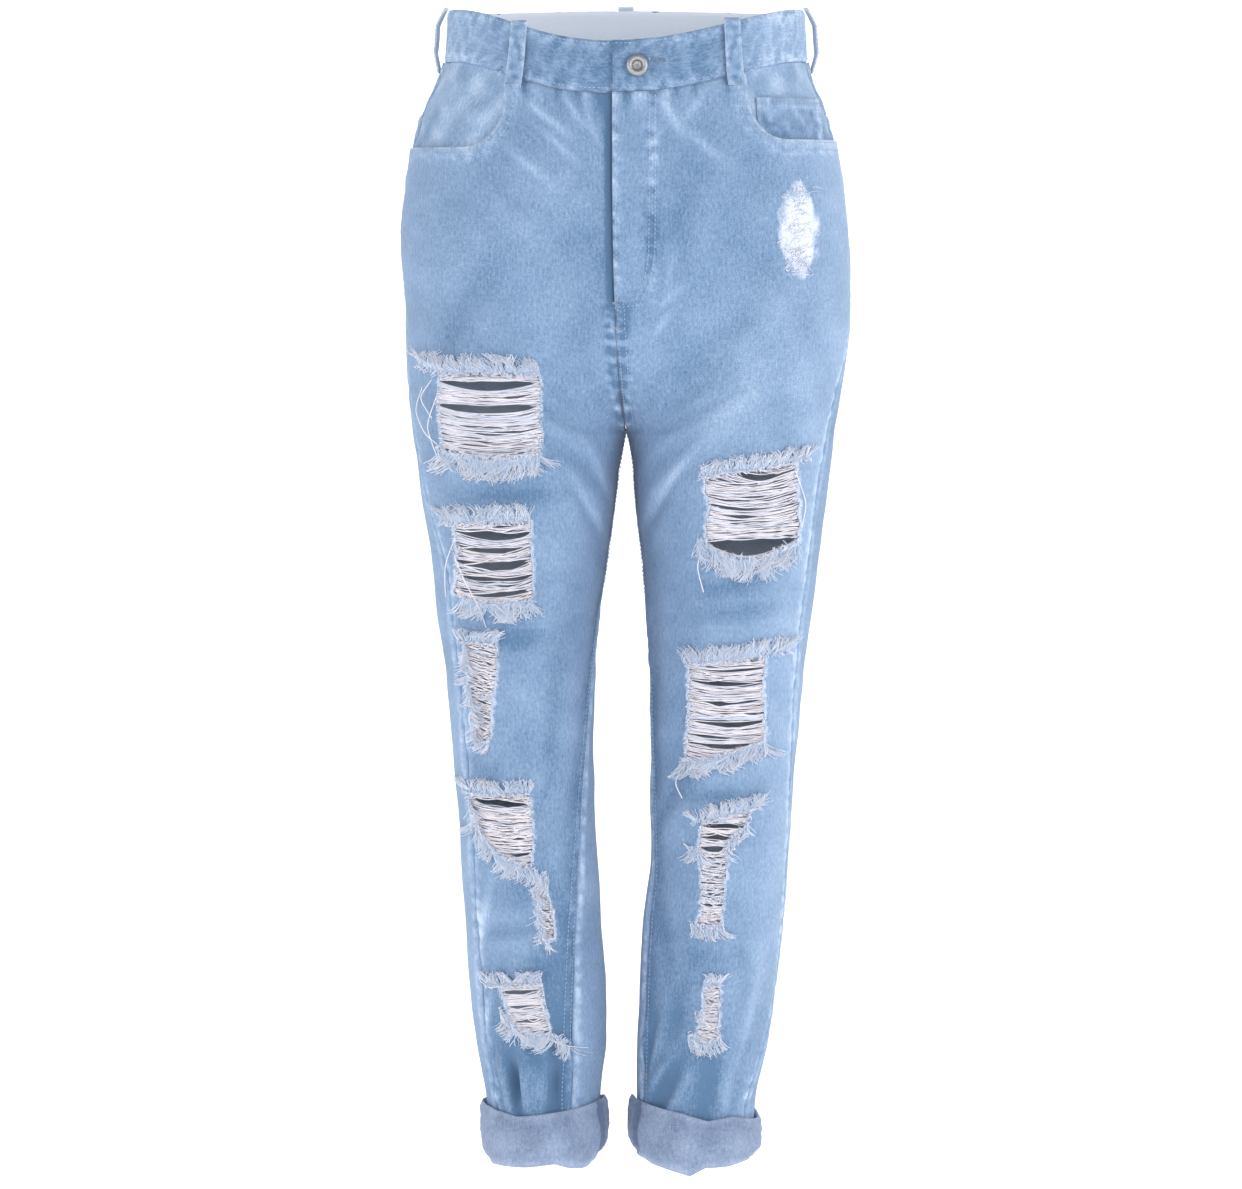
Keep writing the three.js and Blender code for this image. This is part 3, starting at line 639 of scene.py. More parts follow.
BACK_CREASES = {
    "left": [(0.4, -815, -1.1, 9, 40, 5), (0.5, -555, -1.3, 11, 48, 5), (0.55, -508, -1.5, 10, 44, 4),
             (0.62, -352, -1.0, 10, 40, 4), (0.35, -600, -1.2, 8, 36, 2.4), (0.7, -610, -1.0, 8, 34, 2),
             (0.45, -470, -1.4, 8, 40, 2.2), (0.75, -390, -0.9, 7, 34, 2), (0.3, -770, -1.0, 7, 32, 2.2),
             (0.65, -790, -0.8, 7, 30, 2), (0.2, -840, -0.3, 6, 24, 2.2), (0.75, -835, 0.3, 6, 24, 2.2),
             (0.5, -680, -1.3, 9, 40, 1.6), (0.85, -320, -0.6, 6, 30, 1.6), (0.3, -330, -1.3, 9, 40, 1.3)],
    "right": [(0.45, -820, 1.1, 9, 42, 5), (0.5, -545, 1.3, 11, 48, 5), (0.55, -500, 1.5, 10, 44, 4),
              (0.62, -352, 1.0, 10, 40, 4), (0.4, -592, 1.2, 8, 36, 2.2), (0.7, -600, 1.0, 8, 34, 2),
              (0.42, -462, 1.4, 8, 40, 2.2), (0.75, -388, 0.9, 7, 34, 2), (0.3, -765, 1.0, 7, 32, 2.2),
              (0.62, -785, 0.8, 7, 30, 2), (0.22, -838, 0.3, 6, 24, 2.2), (0.75, -832, -0.3, 6, 24, 2.2),
              (0.5, -672, 1.3, 9, 40, 1.6), (0.85, -320, 0.6, 6, 30, 1.6), (0.3, -326, 1.3, 9, 40, 1.3)],
}
for side in ("left", "right"):
    q, z = panel_grid(OUTSEAM[side], lambda h: 1 + INSEAM[side](h), yoke_seam, side, 66, 3.4)
    form = on_form(side, q, z)
    across = run_across(form)
    off_outer = across - across[:, :1]
    off_inner = across[:, -1:] - across
    down = yoke_seam(q) - z
    height = crease_height(q, z, BACK_CREASES[side])
    height += 0.6 * ripple(form[..., 0], z * 0.6, 7, 60) + 0.25 * ripple(form[..., 0], z * 0.7, 8, 24)
    # painted shade: darker in the crease troughs and dips, paler on the raised folds where they rub and fade
    wash_and_shading = 0.3 * np.clip(height, -2, 2)
    inner_ridge, inner_pucker = seam_ridge(off_inner, z, 23)
    outer_ridge, outer_pucker = seam_ridge(off_outer, z, 22)
    top_ridge, top_pucker = seam_ridge(down, across, 24)
    height += inner_ridge + outer_ridge + top_ridge
    wash_and_shading += (0.5 + 0.35 * outer_pucker) * near(off_outer, 4, 4.5)
    wash_and_shading += (0.6 + 0.5 * inner_pucker) * near(off_inner, 4, 4.5)
    wash_and_shading += (0.6 + 0.5 * top_pucker) * near(down, 4, 4.5)
    panel = shell(f"back_{side}", SIGN[side], lifted(side, q, z, height), lifted(side, q, z, height - CLOTH),
                  across, z, wash_and_shading)
    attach(panel, "root")
    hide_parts(f"back_{side}")

# ---- Yokes ----
# Each yoke is a shallow wedge of denim, deepest at the centre back, felled to the back panel below and
# sewn into the waistband above.

for side in ("left", "right"):
    q = np.broadcast_to(spaced(66, 0.55)[None, :], (22, 66))
    top = waist_seam(q) - 0.3
    z = top + (yoke_seam(q) - top) * np.linspace(0, 1, 22)[:, None]
    form = on_form(side, q, z)
    across = run_across(form)
    off_outer = across - across[:, :1]
    off_inner = across[:, -1:] - across
    outer_ridge, outer_pucker = seam_ridge(off_outer, z, 22)
    inner_ridge, inner_pucker = seam_ridge(off_inner, z, 23)
    waves = ripple(across, z * 0.15, 44, 13)
    height = outer_ridge + inner_ridge + 0.4 * ripple(form[..., 0], z, 9, 40)
    height += 0.5 * waves * near(waist_seam(q) - z, 0, 9)
    wash_and_shading = (0.5 + 0.5 * outer_pucker) * near(off_outer, 4, 4.5)
    wash_and_shading += (0.5 + 0.5 * inner_pucker) * near(off_inner, 4, 4.5)
    wash_and_shading += (0.2 + 0.6 * waves) * near(waist_seam(q) - z, 0, 9)
    yoke = shell(f"yoke_{side}", SIGN[side], lifted(side, q, z, height), lifted(side, q, z, height - CLOTH),
                 across, z, wash_and_shading)
    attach(yoke, "root")
    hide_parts(f"yoke_{side}")

# ---- Waistband ----
# One long strip of denim folded double round the waist. Its left end buttons over its right end. It is
# stitched near both edges, and shrinkage between the rows leaves it puckered and patchily faded.

BAND = 2.4
LAP_DROP = 3.0
turns = []
for q_value in np.linspace(-1, 1, 215):
    turns.append(("left", q_value, 0.0))
for q_value in np.linspace(1, -1, 215)[1:]:
    drop = LAP_DROP * float(smooth(-0.86, -0.985, q_value))
    turns.append(("right", q_value, drop))
for q_value in np.linspace(-1, -0.8, 16)[1:]:
    turns.append(("left", q_value, LAP_DROP))
rows = np.linspace(0, 1, 24)
rows = rows - 0.5 * np.sin(2 * np.pi * rows) / (2 * np.pi)
outer = np.zeros((len(rows), len(turns), 3))
inner = np.zeros(outer.shape)
bands_q = np.array([turn[1] for turn in turns])
places = np.array([on_form(side, q_value, -10) for side, q_value, drop in turns])
run = np.concatenate([[0.0], np.cumsum(np.linalg.norm(np.diff(places, axis=0), axis=-1))])
along = np.broadcast_to(run[None, :], outer.shape[:2])
up = np.broadcast_to(rows[:, None] * BAND_HEIGHT, outer.shape[:2])
pucker = ripple(along + 0.35 * up, up * 0.55, 61, 17)
fine = ripple(along - 0.5 * up, up * 0.7, 62, 8)
near_rows = near(up, 3, 5) + near(up, BAND_HEIGHT - 3, 5)
rounding = 0.9 * near(up, 0, 1.6) + 0.9 * near(up, BAND_HEIGHT, 1.6)
height = 0.55 * pucker * (0.45 + near_rows) + 0.25 * fine * near_rows - rounding
height += 0.7 * near(up, 20, 11)
sides_x = places[:, 0]
# painted shade darkens the middle of the front, and painted light pales the band towards both sides, most on
# the wearer's left facing the key lamp
middle = near(sides_x, 0, 75) * (bands_q < 0)
veins = near(pucker, 0, 0.34) + 0.5 * near(fine, 0, 0.4) * near_rows
wash_and_shading = -0.05 - 0.3 * middle + 0.7 * smooth(60, 120, sides_x) + 0.4 * smooth(-80, -130, sides_x)
wash_and_shading = wash_and_shading + 0.8 * veins * (0.6 + 0.45 * near_rows) + 0.2 * pucker * near_rows - 0.3
for column, (side, q_value, drop) in enumerate(turns):
    z_column = waist_top(q_value) - BAND_HEIGHT * rows
    q_column = np.full(rows.shape, q_value)
    outer[:, column] = lifted(side, q_column, z_column, height[:, column] - drop)
    inner[:, column] = lifted(side, q_column, z_column, -BAND - drop + rounding[:, column])
waistband = shell("waistband", 1, outer, inner, up, along, wash_and_shading)
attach(waistband, "root")
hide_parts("waistband")

# ---- Pocket facings and the coin pocket ----
# Each front pocket shows a facing of denim behind its mouth. On the wearer's left a small coin pocket
# with a folded top lies on the facing, its sides taken into the seams.

for side in ("left", "right"):
    edge, turn, bottom = POCKETS[side]
    q_edge = q_at(side, np.array(SIGN[side] * (edge - 14.0)), np.array(-60.0))
    s = np.linspace(0, 1, 50)[None, :]
    q = q_edge + (-0.004 - q_edge) * s
    z = waist_seam(q) + 1 + (bottom - 22 - waist_seam(q)) * np.linspace(0, 1, 40)[:, None]
    q = np.broadcast_to(q, z.shape)
    form = on_form(side, q, z)
    across = run_across(form)
    gape = near(q, -0.28, 0.2) * smooth(-45, -90, z)
    height = -3.2 - 2.2 * gape + 0.5 * ripple(across, z, 71, 26)
    height += 1.6 * smooth(-0.12, -0.02, q)
    # painted shade darkens the facing where the pocket mouth gapes open
    wash_and_shading = 0.5 + 0.3 * ripple(across, z, 72, 26) - 0.9 * gape * smooth(-0.3, -0.05, q)
    facing = shell(f"pocket_facing_{side}", SIGN[side], lifted(side, q, z, height),
                   lifted(side, q, z, height - LIGHT_CLOTH), across, z, wash_and_shading)
    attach(facing, "root")
    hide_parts(f"pocket_facing_{side}")

COIN_HEIGHT = 50
s = np.linspace(0, 1, 30)[None, :]
t = np.linspace(0, 1, 30)[:, None]
x = 101 + 52 * s + 3 * t
z = -58 - COIN_HEIGHT * t + 0 * s
q = q_at("left", np.broadcast_to(x, z.shape), z)
form = on_form("left", q, z)
across = run_across(form)
rim = 30 * np.minimum(s, 1 - s)
height = -1.2 + 0.25 * ripple(across, z, 73, 12) - 0.7 * near(rim, 0, 0.8)
height += 0.5 * np.exp(-((COIN_HEIGHT * t / 5) ** 4)) + 0 * s
wash_and_shading = 0.15 + 0.6 * near(COIN_HEIGHT * t, 0, 2.5) + 0.5 * near(COIN_HEIGHT * t, 8, 2)
wash_and_shading = wash_and_shading - 0.35 * smooth(0.15, 0.5, t) + 0.9 * near(s, 0.96, 0.05)
wash_and_shading = wash_and_shading + 0.8 * near(s, 0, 0.05) + 0.8 * smooth(0.9, 0.98, t)
wash_and_shading = wash_and_shading + 0.35 * ripple(across, z, 74, 11)
coin = shell("coin_pocket", 1, lifted("left", q, z, height), lifted("left", q, z, height - LIGHT_CLOTH),
             across, z, wash_and_shading)
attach(coin, "root")
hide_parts("coin_pocket")

# ---- Back pockets ----
# Two plain five-sided patches of denim, hemmed across the top and sewn on round the other edges.

BACK_POCKET_WIDTH = 92
BACK_POCKET_HEIGHT = 115
for side in ("left", "right"):
    s = np.linspace(0, 1, 44)[None, :]
    t = np.linspace(0, 1, 52)[:, None]
    left_x = 32 + 5 * np.clip(t * 1.2, 0, 1)
    right_x = 130 - 6 * np.clip(t * 1.2, 0, 1)
    x = left_x + (right_x - left_x) * s
    top = -101 + 9 * s
    foot = np.where(s < 0.5, -206 - 36 * s, -224 + 56 * (s - 0.5))
    z = top + (foot - top) * t
    q = q_at(side, SIGN[side] * np.broadcast_to(x, z.shape), z, back=True)
    form = on_form(side, q, z)
    across = run_across(form)
    edge = np.minimum(np.minimum(s, 1 - s) * BACK_POCKET_WIDTH, (1 - t) * BACK_POCKET_HEIGHT)
    ridge, pucker = seam_ridge(edge, across + z, 75)
    height = 1.6 + 0.5 * near(edge, 0, 7) - 0.9 * near(edge, 0, 1.2)
    height = height + 0.5 * ripple(across, z, 76, 34) + 0.4 * np.exp(-((BACK_POCKET_HEIGHT * t / 9) ** 4))
    wash_and_shading = (0.8 + 0.5 * pucker) * near(edge, 0, 3)
    wash_and_shading = wash_and_shading + (0.6 + 0.5 * pucker) * near(BACK_POCKET_HEIGHT * t, 0, 4)
    pocket = shell(f"back_pocket_{side}", -SIGN[side], lifted(side, q, z, height),
                   lifted(side, q, z, height - POCKET_CLOTH), across, z, wash_and_shading)
    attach(pocket, "root")
    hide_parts(f"back_pocket_{side}")

# ---- Belt loops ----
# Five narrow strips with their raw edges folded to the middle behind, each tacked down above and below
# the waistband, so that a belt passes between.

LOOPS = [("front_left", "left", -0.612, 3.0), ("front_right", "right", -0.655, 3.0),
         ("side_left", "left", 0.06, 8.5), ("side_right", "right", 0.06, 8.5), ("back", "left", 1.0, 8.0)]


def loop_place(side, q_loop, stand, off, v):
    """A point of a belt loop: off is mm from its middle line and v goes from its top to its foot."""
    top = float(waist_top(q_loop)) + 3
    step = np.linalg.norm(on_form(side, q_loop + 0.01, top) - on_form(side, q_loop - 0.01, top)) / 0.02
    q = q_loop + off / step
    z = top - 52 * v
    lift = 1.2 + (stand - 1.2) * np.minimum(1, 1.25 * np.sin(v * np.pi))
    return q, z, lift


for name, side, q_loop, stand in LOOPS:
    off = np.linspace(-6.5, 6.5, 12)[None, :]
    v = np.linspace(0, 1, 40)[:, None]
    off = off + 0.5 * np.sin(v * 4.0 + q_loop * 9)
    q, z, lift = loop_place(side, q_loop, stand, off, v)
    q, z, lift = np.broadcast_arrays(q, z, lift)
    mid = np.linspace(-1, 1, 12)[None, :] + 0 * v
    height = lift + 1.7 - 0.55 * np.abs(mid) ** 5 - 0.25 * near(mid, 0, 0.25)
    wash_and_shading = 0.8 * np.abs(mid) ** 3 - 0.05 + 0.4 * ripple(off + 0 * v, z, 81, 9)
    outer = lifted(side, q, z, height)
    loop = shell(f"belt_loop_{name}", SIGN[side], outer, lifted(side, q, z, lift), run_across(outer), z, wash_and_shading)
    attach(loop, "root")
    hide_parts(f"belt_loop_{name}")

# ---- Behind the fly ----
# A facing and a shield of denim with the zip between them, all sewn behind the left front's edge.

for name, low, high, bottom, depth, corner in (("fly_facing", -10.5, 24, -218, 2.2, 26),
                                                ("fly_shield", -9.5, 30, -214, 5.0, 8)):
    s = np.linspace(0, 1, 16)[None, :]
    into_corner = np.clip((low + (high - low) * s - high + corner) / corner, 0, 1)
    foot = bottom + corner * (1 - np.sqrt(1 - into_corner**2))
    z = -48 + (foot + 48) * np.linspace(0, 1, 60)[:, None]
    x = np.broadcast_to(low + (high - low) * s, z.shape)
    q = q_at("left", x, z)
    across = run_across(on_form("left", q, z))
    height = np.full(q.shape, -depth)
    strip = shell(name, 1, lifted("left", q, z, height), lifted("left", q, z, height - LIGHT_CLOTH),
                  across, z, 0.2 * ripple(x, z, 83, 12))
    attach(strip, "root")
    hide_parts(name)

# ---- Zip ----
# A metal zip on a cotton tape behind the fly, closed and out of sight from the front.

zip_material, tree = new_material("brass_zip_on_cotton_tape")
place = add_node(tree, "ShaderNodeTexCoord").outputs["Object"]
teeth = add_node(tree, "ShaderNodeTexWave", {"Vector": place, "Scale": 160.0},
                 bands_direction="Z").outputs[1]
colour = blend(tree, teeth, linear("#8C8675"), linear("#C9C3B0"))
bump = add_node(tree, "ShaderNodeBump", {"Height": teeth, "Strength": 0.6, "Distance": 0.001}).outputs[0]
finish_material(tree, {"Base Color": colour, "Normal": bump, "Roughness": 0.45, "Metallic": 0.7})
zip_piece = nodes["zip"]
zip_piece.data.materials.clear()
zip_piece.data.materials.append(zip_material)

# ---- Cuffs ----
# The hem of each leg is turned up twice, so the cuffs show the wrong side of the denim, greyer and
# paler, with uneven edges where the turned cloth is loose.

CUFF_DENIM = denim("wrong_side_of_denim", "#8999B4", "#5D6D8B", "#AEBBD4", "#8999B4")
CUFFS = {
    "right": {"top": [(-112, -845.5), (-83, -852.5), (-50, -848), (-20, -843)],
              "foot": [(-108, -884), (-103, -894), (-80, -893), (-57, -890), (-45, -894), (-34, -895),
                       (-20, -883)],
              "pinch": -24.0},
    "left": {"top": [(5, -842), (42, -849), (63, -855.5), (81, -853), (110, -862)],
             "foot": [(7, -882), (22, -892), (50, -899.5), (62, -893), (78, -893), (93, -890), (109, -875)],
             "pinch": 13.0},
}
for side in ("left", "right"):
    edges = CUFFS[side]
    q_row = np.linspace(-1, 1, 150)[None, :]
    x_row = on_form(side, q_row, -870)[..., 0]
    top_x, top_z = np.array(edges["top"]).T
    foot_x, foot_z = np.array(edges["foot"]).T
    top = np.interp(x_row, top_x, top_z)
    foot = np.interp(x_row, foot_x, foot_z)
    join_top = np.mean(top_z)
    join_foot = np.mean(foot_z)
    behind = smooth(0, 0.25, q_row)
    top = top + (join_top - top) * behind * smooth(1.0, 0.8, q_row)
    foot = foot + (join_foot - 2 - foot) * behind * smooth(1.0, 0.8, q_row)
    # the section runs up the outside from the fold, over the top edge and down inside
    path = [(1.2, 0.03), (-1.0, 0.0), (-3.6, 0.02), (-5.0, 0.08)]
    path += [(-5.4 - 0.9 * math.sin(math.pi * t), t) for t in np.linspace(0.14, 0.9, 17)]
    path += [(-5.0, 0.95), (-4.3, 0.99), (-3.2, 1.0), (-2.0, 0.985), (-1.3, 0.94), (-1.2, 0.8), (-1.2, 0.5),
             (-1.2, 0.25), (-1.0, 0.16), (0.6, 0.15), (1.6, 0.13)]
    depth = np.array([step[0] for step in path])[:, None]
    part = np.array([step[1] for step in path])[:, None]
    z = foot + (top - foot) * part
    q = np.broadcast_to(q_row, z.shape)
    form = on_form(side, q, z)
    across = run_across(form)
    outside = smooth(-2.0, -4.5, depth)
    height = -depth + outside * (0.8 * ripple(across, z, 91, 30) + 0.45 * ripple(across, z * 1.6, 92, 12))
    step_line = (z - (top - 15)) / 2.2
    height = height + outside * 0.8 * (1 / (1 + np.exp(np.clip(step_line, -20, 20))) - 0.5)
    pinch = near(form[..., 0], edges["pinch"], 1.8) * smooth(0.1, -0.1, q)
    height = height - outside * 3.2 * pinch
    # painted light and shade: paler where the turned cloth bulges out and darker where it dips, with painted
    # shade in the pinched fold; the folded edges are paler from wear
    wash_and_shading = 0.2 * np.clip(height + depth, -1.5, 1.5) + 0.5 * near(part, 0.98, 0.05)
    wash_and_shading = wash_and_shading + 0.5 * near(part, 0.06, 0.06) - 1.2 * pinch
    wash_and_shading = wash_and_shading + 0.15 * ripple(across, z, 93, 24)
    points = lifted(side, q, z, height)
    count_rows, count_columns = points.shape[:2]
    index = np.arange(count_rows * count_columns).reshape(count_rows, count_columns)
    index[:, -1] = index[:, 0]
    ringed = np.vstack([index, index[:1]])
    quads = np.stack([ringed[:-1, :-1], ringed[:-1, 1:], ringed[1:, 1:], ringed[1:, :-1]], -1).reshape(-1, 4)
    if SIGN[side] < 0:
        quads = quads[:, ::-1]
    cuff = smooth_piece(f"cuff_{side}_cloth", points.reshape(-1, 3) * MM, quads.tolist(), CUFF_DENIM)
    mesh = cuff.data
    around = np.vstack([across, across[:1]])
    rise = np.cumsum(np.vstack([np.zeros((1, count_columns)),
                                np.linalg.norm(np.diff(points, axis=0), axis=-1)]), axis=0)
    rise = np.vstack([rise, rise[-1:] + 3])
    corners = [(slice(None, -1), slice(None, -1)), (slice(None, -1), slice(1, None)),
               (slice(1, None), slice(1, None)), (slice(1, None), slice(None, -1))]
    if SIGN[side] < 0:
        corners = corners[::-1]
    uv = np.stack([np.stack([around[c], rise[c]], -1) for c in corners], 2).reshape(-1, 2) * MM
    mesh.uv_layers.new(name="cloth").data.foreach_set("uv", uv.ravel())
    set_mark(mesh, "wash_and_shading", np.broadcast_to(wash_and_shading, z.shape).ravel())
    set_mark(mesh, "fray", np.zeros(z.size))
    set_mark(mesh, "reverse", np.zeros(z.size))
    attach(cuff, "root")
    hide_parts(f"cuff_{side}")

# ---- Button ----
# A hollow-centred jeans button in worn nickel, riveted through both ends of the waistband. Its rim is
# rounded and the rivet's head shows in the middle.

button_metal, tree = new_material("worn_nickel_button")
place = add_node(tree, "ShaderNodeTexCoord").outputs["Object"]
stain = add_node(tree, "ShaderNodeTexNoise", {"Vector": place, "Scale": 700.0, "Detail": 4.0}).outputs[0]
colour = blend(tree, stain, linear("#77787C"), linear("#BDBDC0"))
rough = add_node(tree, "ShaderNodeMapRange", {"Value": stain, "To Min": 0.3, "To Max": 0.55}).outputs[0]
bump = add_node(tree, "ShaderNodeBump", {"Height": stain, "Strength": 0.25, "Distance": 0.0003}).outputs[0]
finish_material(tree, {"Base Color": colour, "Normal": bump, "Roughness": rough, "Metallic": 0.85})
# radius and height of the button's section in mm, from the middle of its face round to its back
SECTION = [(0, 0.9), (0.7, 0.8), (1.1, 0.4), (1.3, -0.6), (2.9, -0.7), (3.3, 0.6), (4.0, 2.2), (4.6, 3.0),
           (5.4, 3.4), (6.4, 3.45), (7.4, 3.0), (8.2, 2.2), (8.6, 1.4), (8.5, 0.6), (7.6, 0.1), (0, -1.2)]
centre_q = -0.932
centre_z = -35.0
centre = lifted("left", np.array(centre_q), np.array(centre_z), np.array(1.0))
normal = outward("left", np.array(centre_q), np.array(centre_z))
side_way = np.cross(normal, (0, 0, 1))
side_way /= np.linalg.norm(side_way)
up_way = np.cross(side_way, normal)
angles = np.linspace(0, 2 * np.pi, 49)[:-1]
points = [centre + normal * SECTION[0][1]]
for radius, rise in SECTION[1:-1]:
    for angle in angles:
        spoke = side_way * math.cos(angle) + up_way * math.sin(angle)
        points.append(centre + normal * rise + radius * spoke)
points.append(centre)
faces = []
steps = len(angles)
last = len(points) - 1
for i in range(steps):
    j = (i + 1) % steps
    faces.append((0, 1 + j, 1 + i))
    for k in range(len(SECTION) - 3):
        base = 1 + k * steps
        faces.append((base + i, base + j, base + steps + j, base + steps + i))
    faces.append((last, last - steps + i, last - steps + j))
button = smooth_piece("button_ring", np.array(points) * MM, faces, button_metal)
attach(button, "root")
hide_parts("button")

# ---- Threads across the tears ----
# The blue upright warp has been cut away in each tear, and the white crosswise weft threads are left.
# They are still held at the sides of the hole, and they sag and gather into bundles with gaps between.

COTTON, tree = new_material("bleached_cotton_thread")
tone = add_node(tree, "ShaderNodeAttribute", attribute_name="tone").outputs["Fac"]
place = add_node(tree, "ShaderNodeTexCoord").outputs["Object"]
fuzz = add_node(tree, "ShaderNodeTexNoise", {"Vector": place, "Scale": 900.0, "Detail": 2.0}).outputs[0]
ramp = add_node(tree, "ShaderNodeValToRGB", {"Fac": tone})
ramp.color_ramp.elements[0].color = linear("#93B5E0")
ramp.color_ramp.elements[1].color = linear("#FBF1F7")
half = ramp.color_ramp.elements.new(0.5)
half.color = linear("#C6D9F4")
bump = add_node(tree, "ShaderNodeBump", {"Height": fuzz, "Strength": 0.4, "Distance": 0.0004}).outputs[0]
finish_material(tree, {"Base Color": ramp.outputs[0], "Normal": bump, "Roughness": 0.95,
                       "Sheen Weight": 0.3, "Subsurface Weight": 0.4,
                       "Subsurface Radius": (1.0, 1.0, 1.0), "Subsurface Scale": 0.002})


def group_input(tree, name, kind, default=None):
    socket = tree.interface.new_socket(name, in_out="INPUT", socket_type=kind)
    if default is not None:
        socket.default_value = default
    return socket


def thread_tree():
    """Turns every polyline into a thread of this radius times its own thickness mark."""
    tree = bpy.data.node_groups.new("spun_thread", "GeometryNodeTree")
    group_input(tree, "Geometry", "NodeSocketGeometry")
    group_input(tree, "Radius", "NodeSocketFloat", 0.0004)
    group_input(tree, "Material", "NodeSocketMaterial")
    tree.interface.new_socket("Geometry", in_out="OUTPUT", socket_type="NodeSocketGeometry")
    given = add_node(tree, "NodeGroupInput").outputs
    curve = add_node(tree, "GeometryNodeMeshToCurve", {"Mesh": given["Geometry"]}).outputs[0]
    thick = add_node(tree, "GeometryNodeInputNamedAttribute", {"Name": "thick"}, data_type="FLOAT")
    radius = add_node(tree, "ShaderNodeMath", {0: thick.outputs[0], 1: given["Radius"]},
                      operation="MULTIPLY").outputs[0]
    ring = add_node(tree, "GeometryNodeCurvePrimitiveCircle", {"Resolution": 3, "Radius": 1.0}).outputs[0]
    mesh = add_node(tree, "GeometryNodeCurveToMesh", {"Curve": curve, "Profile Curve": ring, "Scale": radius,
                                                      "Fill Caps": False}).outputs[0]
    real = add_node(tree, "GeometryNodeRealizeInstances", {"Geometry": mesh}).outputs[0]
    rounded = add_node(tree, "GeometryNodeSetShadeSmooth", {"Geometry": real}).outputs[0]
    done = add_node(tree, "GeometryNodeSetMaterial", {"Geometry": rounded, "Material": given["Material"]})
    add_node(tree, "NodeGroupOutput", {0: done.outputs[0]})
    return tree


def grown(name, lines, marks, tree, settings):
    """A plain mesh grown by a node tree from polylines, all in mm."""
    edges = []
    start = 0
    for line in lines:
        edges += [(start + i, start + i + 1) for i in range(len(line) - 1)]
        start += len(line)
    mesh = bpy.data.meshes.new(name)
    mesh.from_pydata((np.concatenate(lines) * MM).tolist(), edges, [])
    for mark, values in marks.items():
        set_mark(mesh, mark, np.concatenate(values))
    source = bpy.data.objects.new(name + "_lines", mesh)
    bpy.context.scene.collection.objects.link(source)
    modifier = source.modifiers.new("grow", "NODES")
    modifier.node_group = tree
    for item in tree.interface.items_tree:
        if item.item_type == "SOCKET" and item.in_out == "INPUT" and item.name in settings:
            modifier[item.identifier] = settings[item.name]
    evaluated = source.evaluated_get(bpy.context.evaluated_depsgraph_get())
    result = bpy.data.meshes.new_from_object(evaluated)
    source.modifiers.remove(modifier)
    bpy.data.objects.remove(source)
    piece = bpy.data.objects.new(name, result)
    bpy.context.scene.collection.objects.link(piece)
    return piece


# For each tear: how many threads, the gaps as part of its height and half their size, sag in mm, how
# much higher the right end of a thread is than its left end, and how far the threads lie in.
WEFT = {
    "right": [
        (121, [(0.10, 0.055), (0.22, 0.03), (0.37, 0.055), (0.62, 0.02)], 4.5, 0.0, 3.0),
        (84, [(0.12, 0.06), (0.30, 0.06), (0.47, 0.065), (0.64, 0.05), (0.82, 0.035)], 5.0, 0.0, 3.2),
        (117, [(0.3, 0.01), (0.6, 0.012)], 1.0, -7.0, 1.6),
        (105, [(0.08, 0.05), (0.35, 0.02), (0.55, 0.015), (0.78, 0.02)], 2.5, -1.0, 2.6),
        (54, [(0.4, 0.03)], 1.5, -5.0, 1.6),
        (71, [(0.12, 0.05), (0.42, 0.04), (0.7, 0.04)], 1.5, 3.0, 2.4),
    ],
    "left": [
        (117, [(0.05, 0.045), (0.3, 0.02), (0.5, 0.02), (0.78, 0.09)], 6.0, 2.0, 3.2),
        (138, [(0.1, 0.02), (0.22, 0.025), (0.4, 0.02), (0.6, 0.03), (0.8, 0.02)], 3.0, -1.0, 2.6),
        (134, [(0.1, 0.025), (0.2, 0.03), (0.3, 0.025), (0.6, 0.01)], 1.2, -1.0, 1.8),
        (71, [(0.3, 0.02), (0.65, 0.02)], 0.8, -2.0, 1.4),
    ],
}
SPUN = thread_tree()
HELD_IN = 2.5


def span_at(outline, z):
    """Left and right x where a level line crosses an outline."""
    crossings = []
    for (x0, z0), (x1, z1) in zip(outline, np.roll(outline, -1, 0)):
        if (z0 > z) != (z1 > z):
            crossings.append(x0 + (x1 - x0) * (z - z0) / (z1 - z0))
    return (min(crossings), max(crossings)) if crossings else None


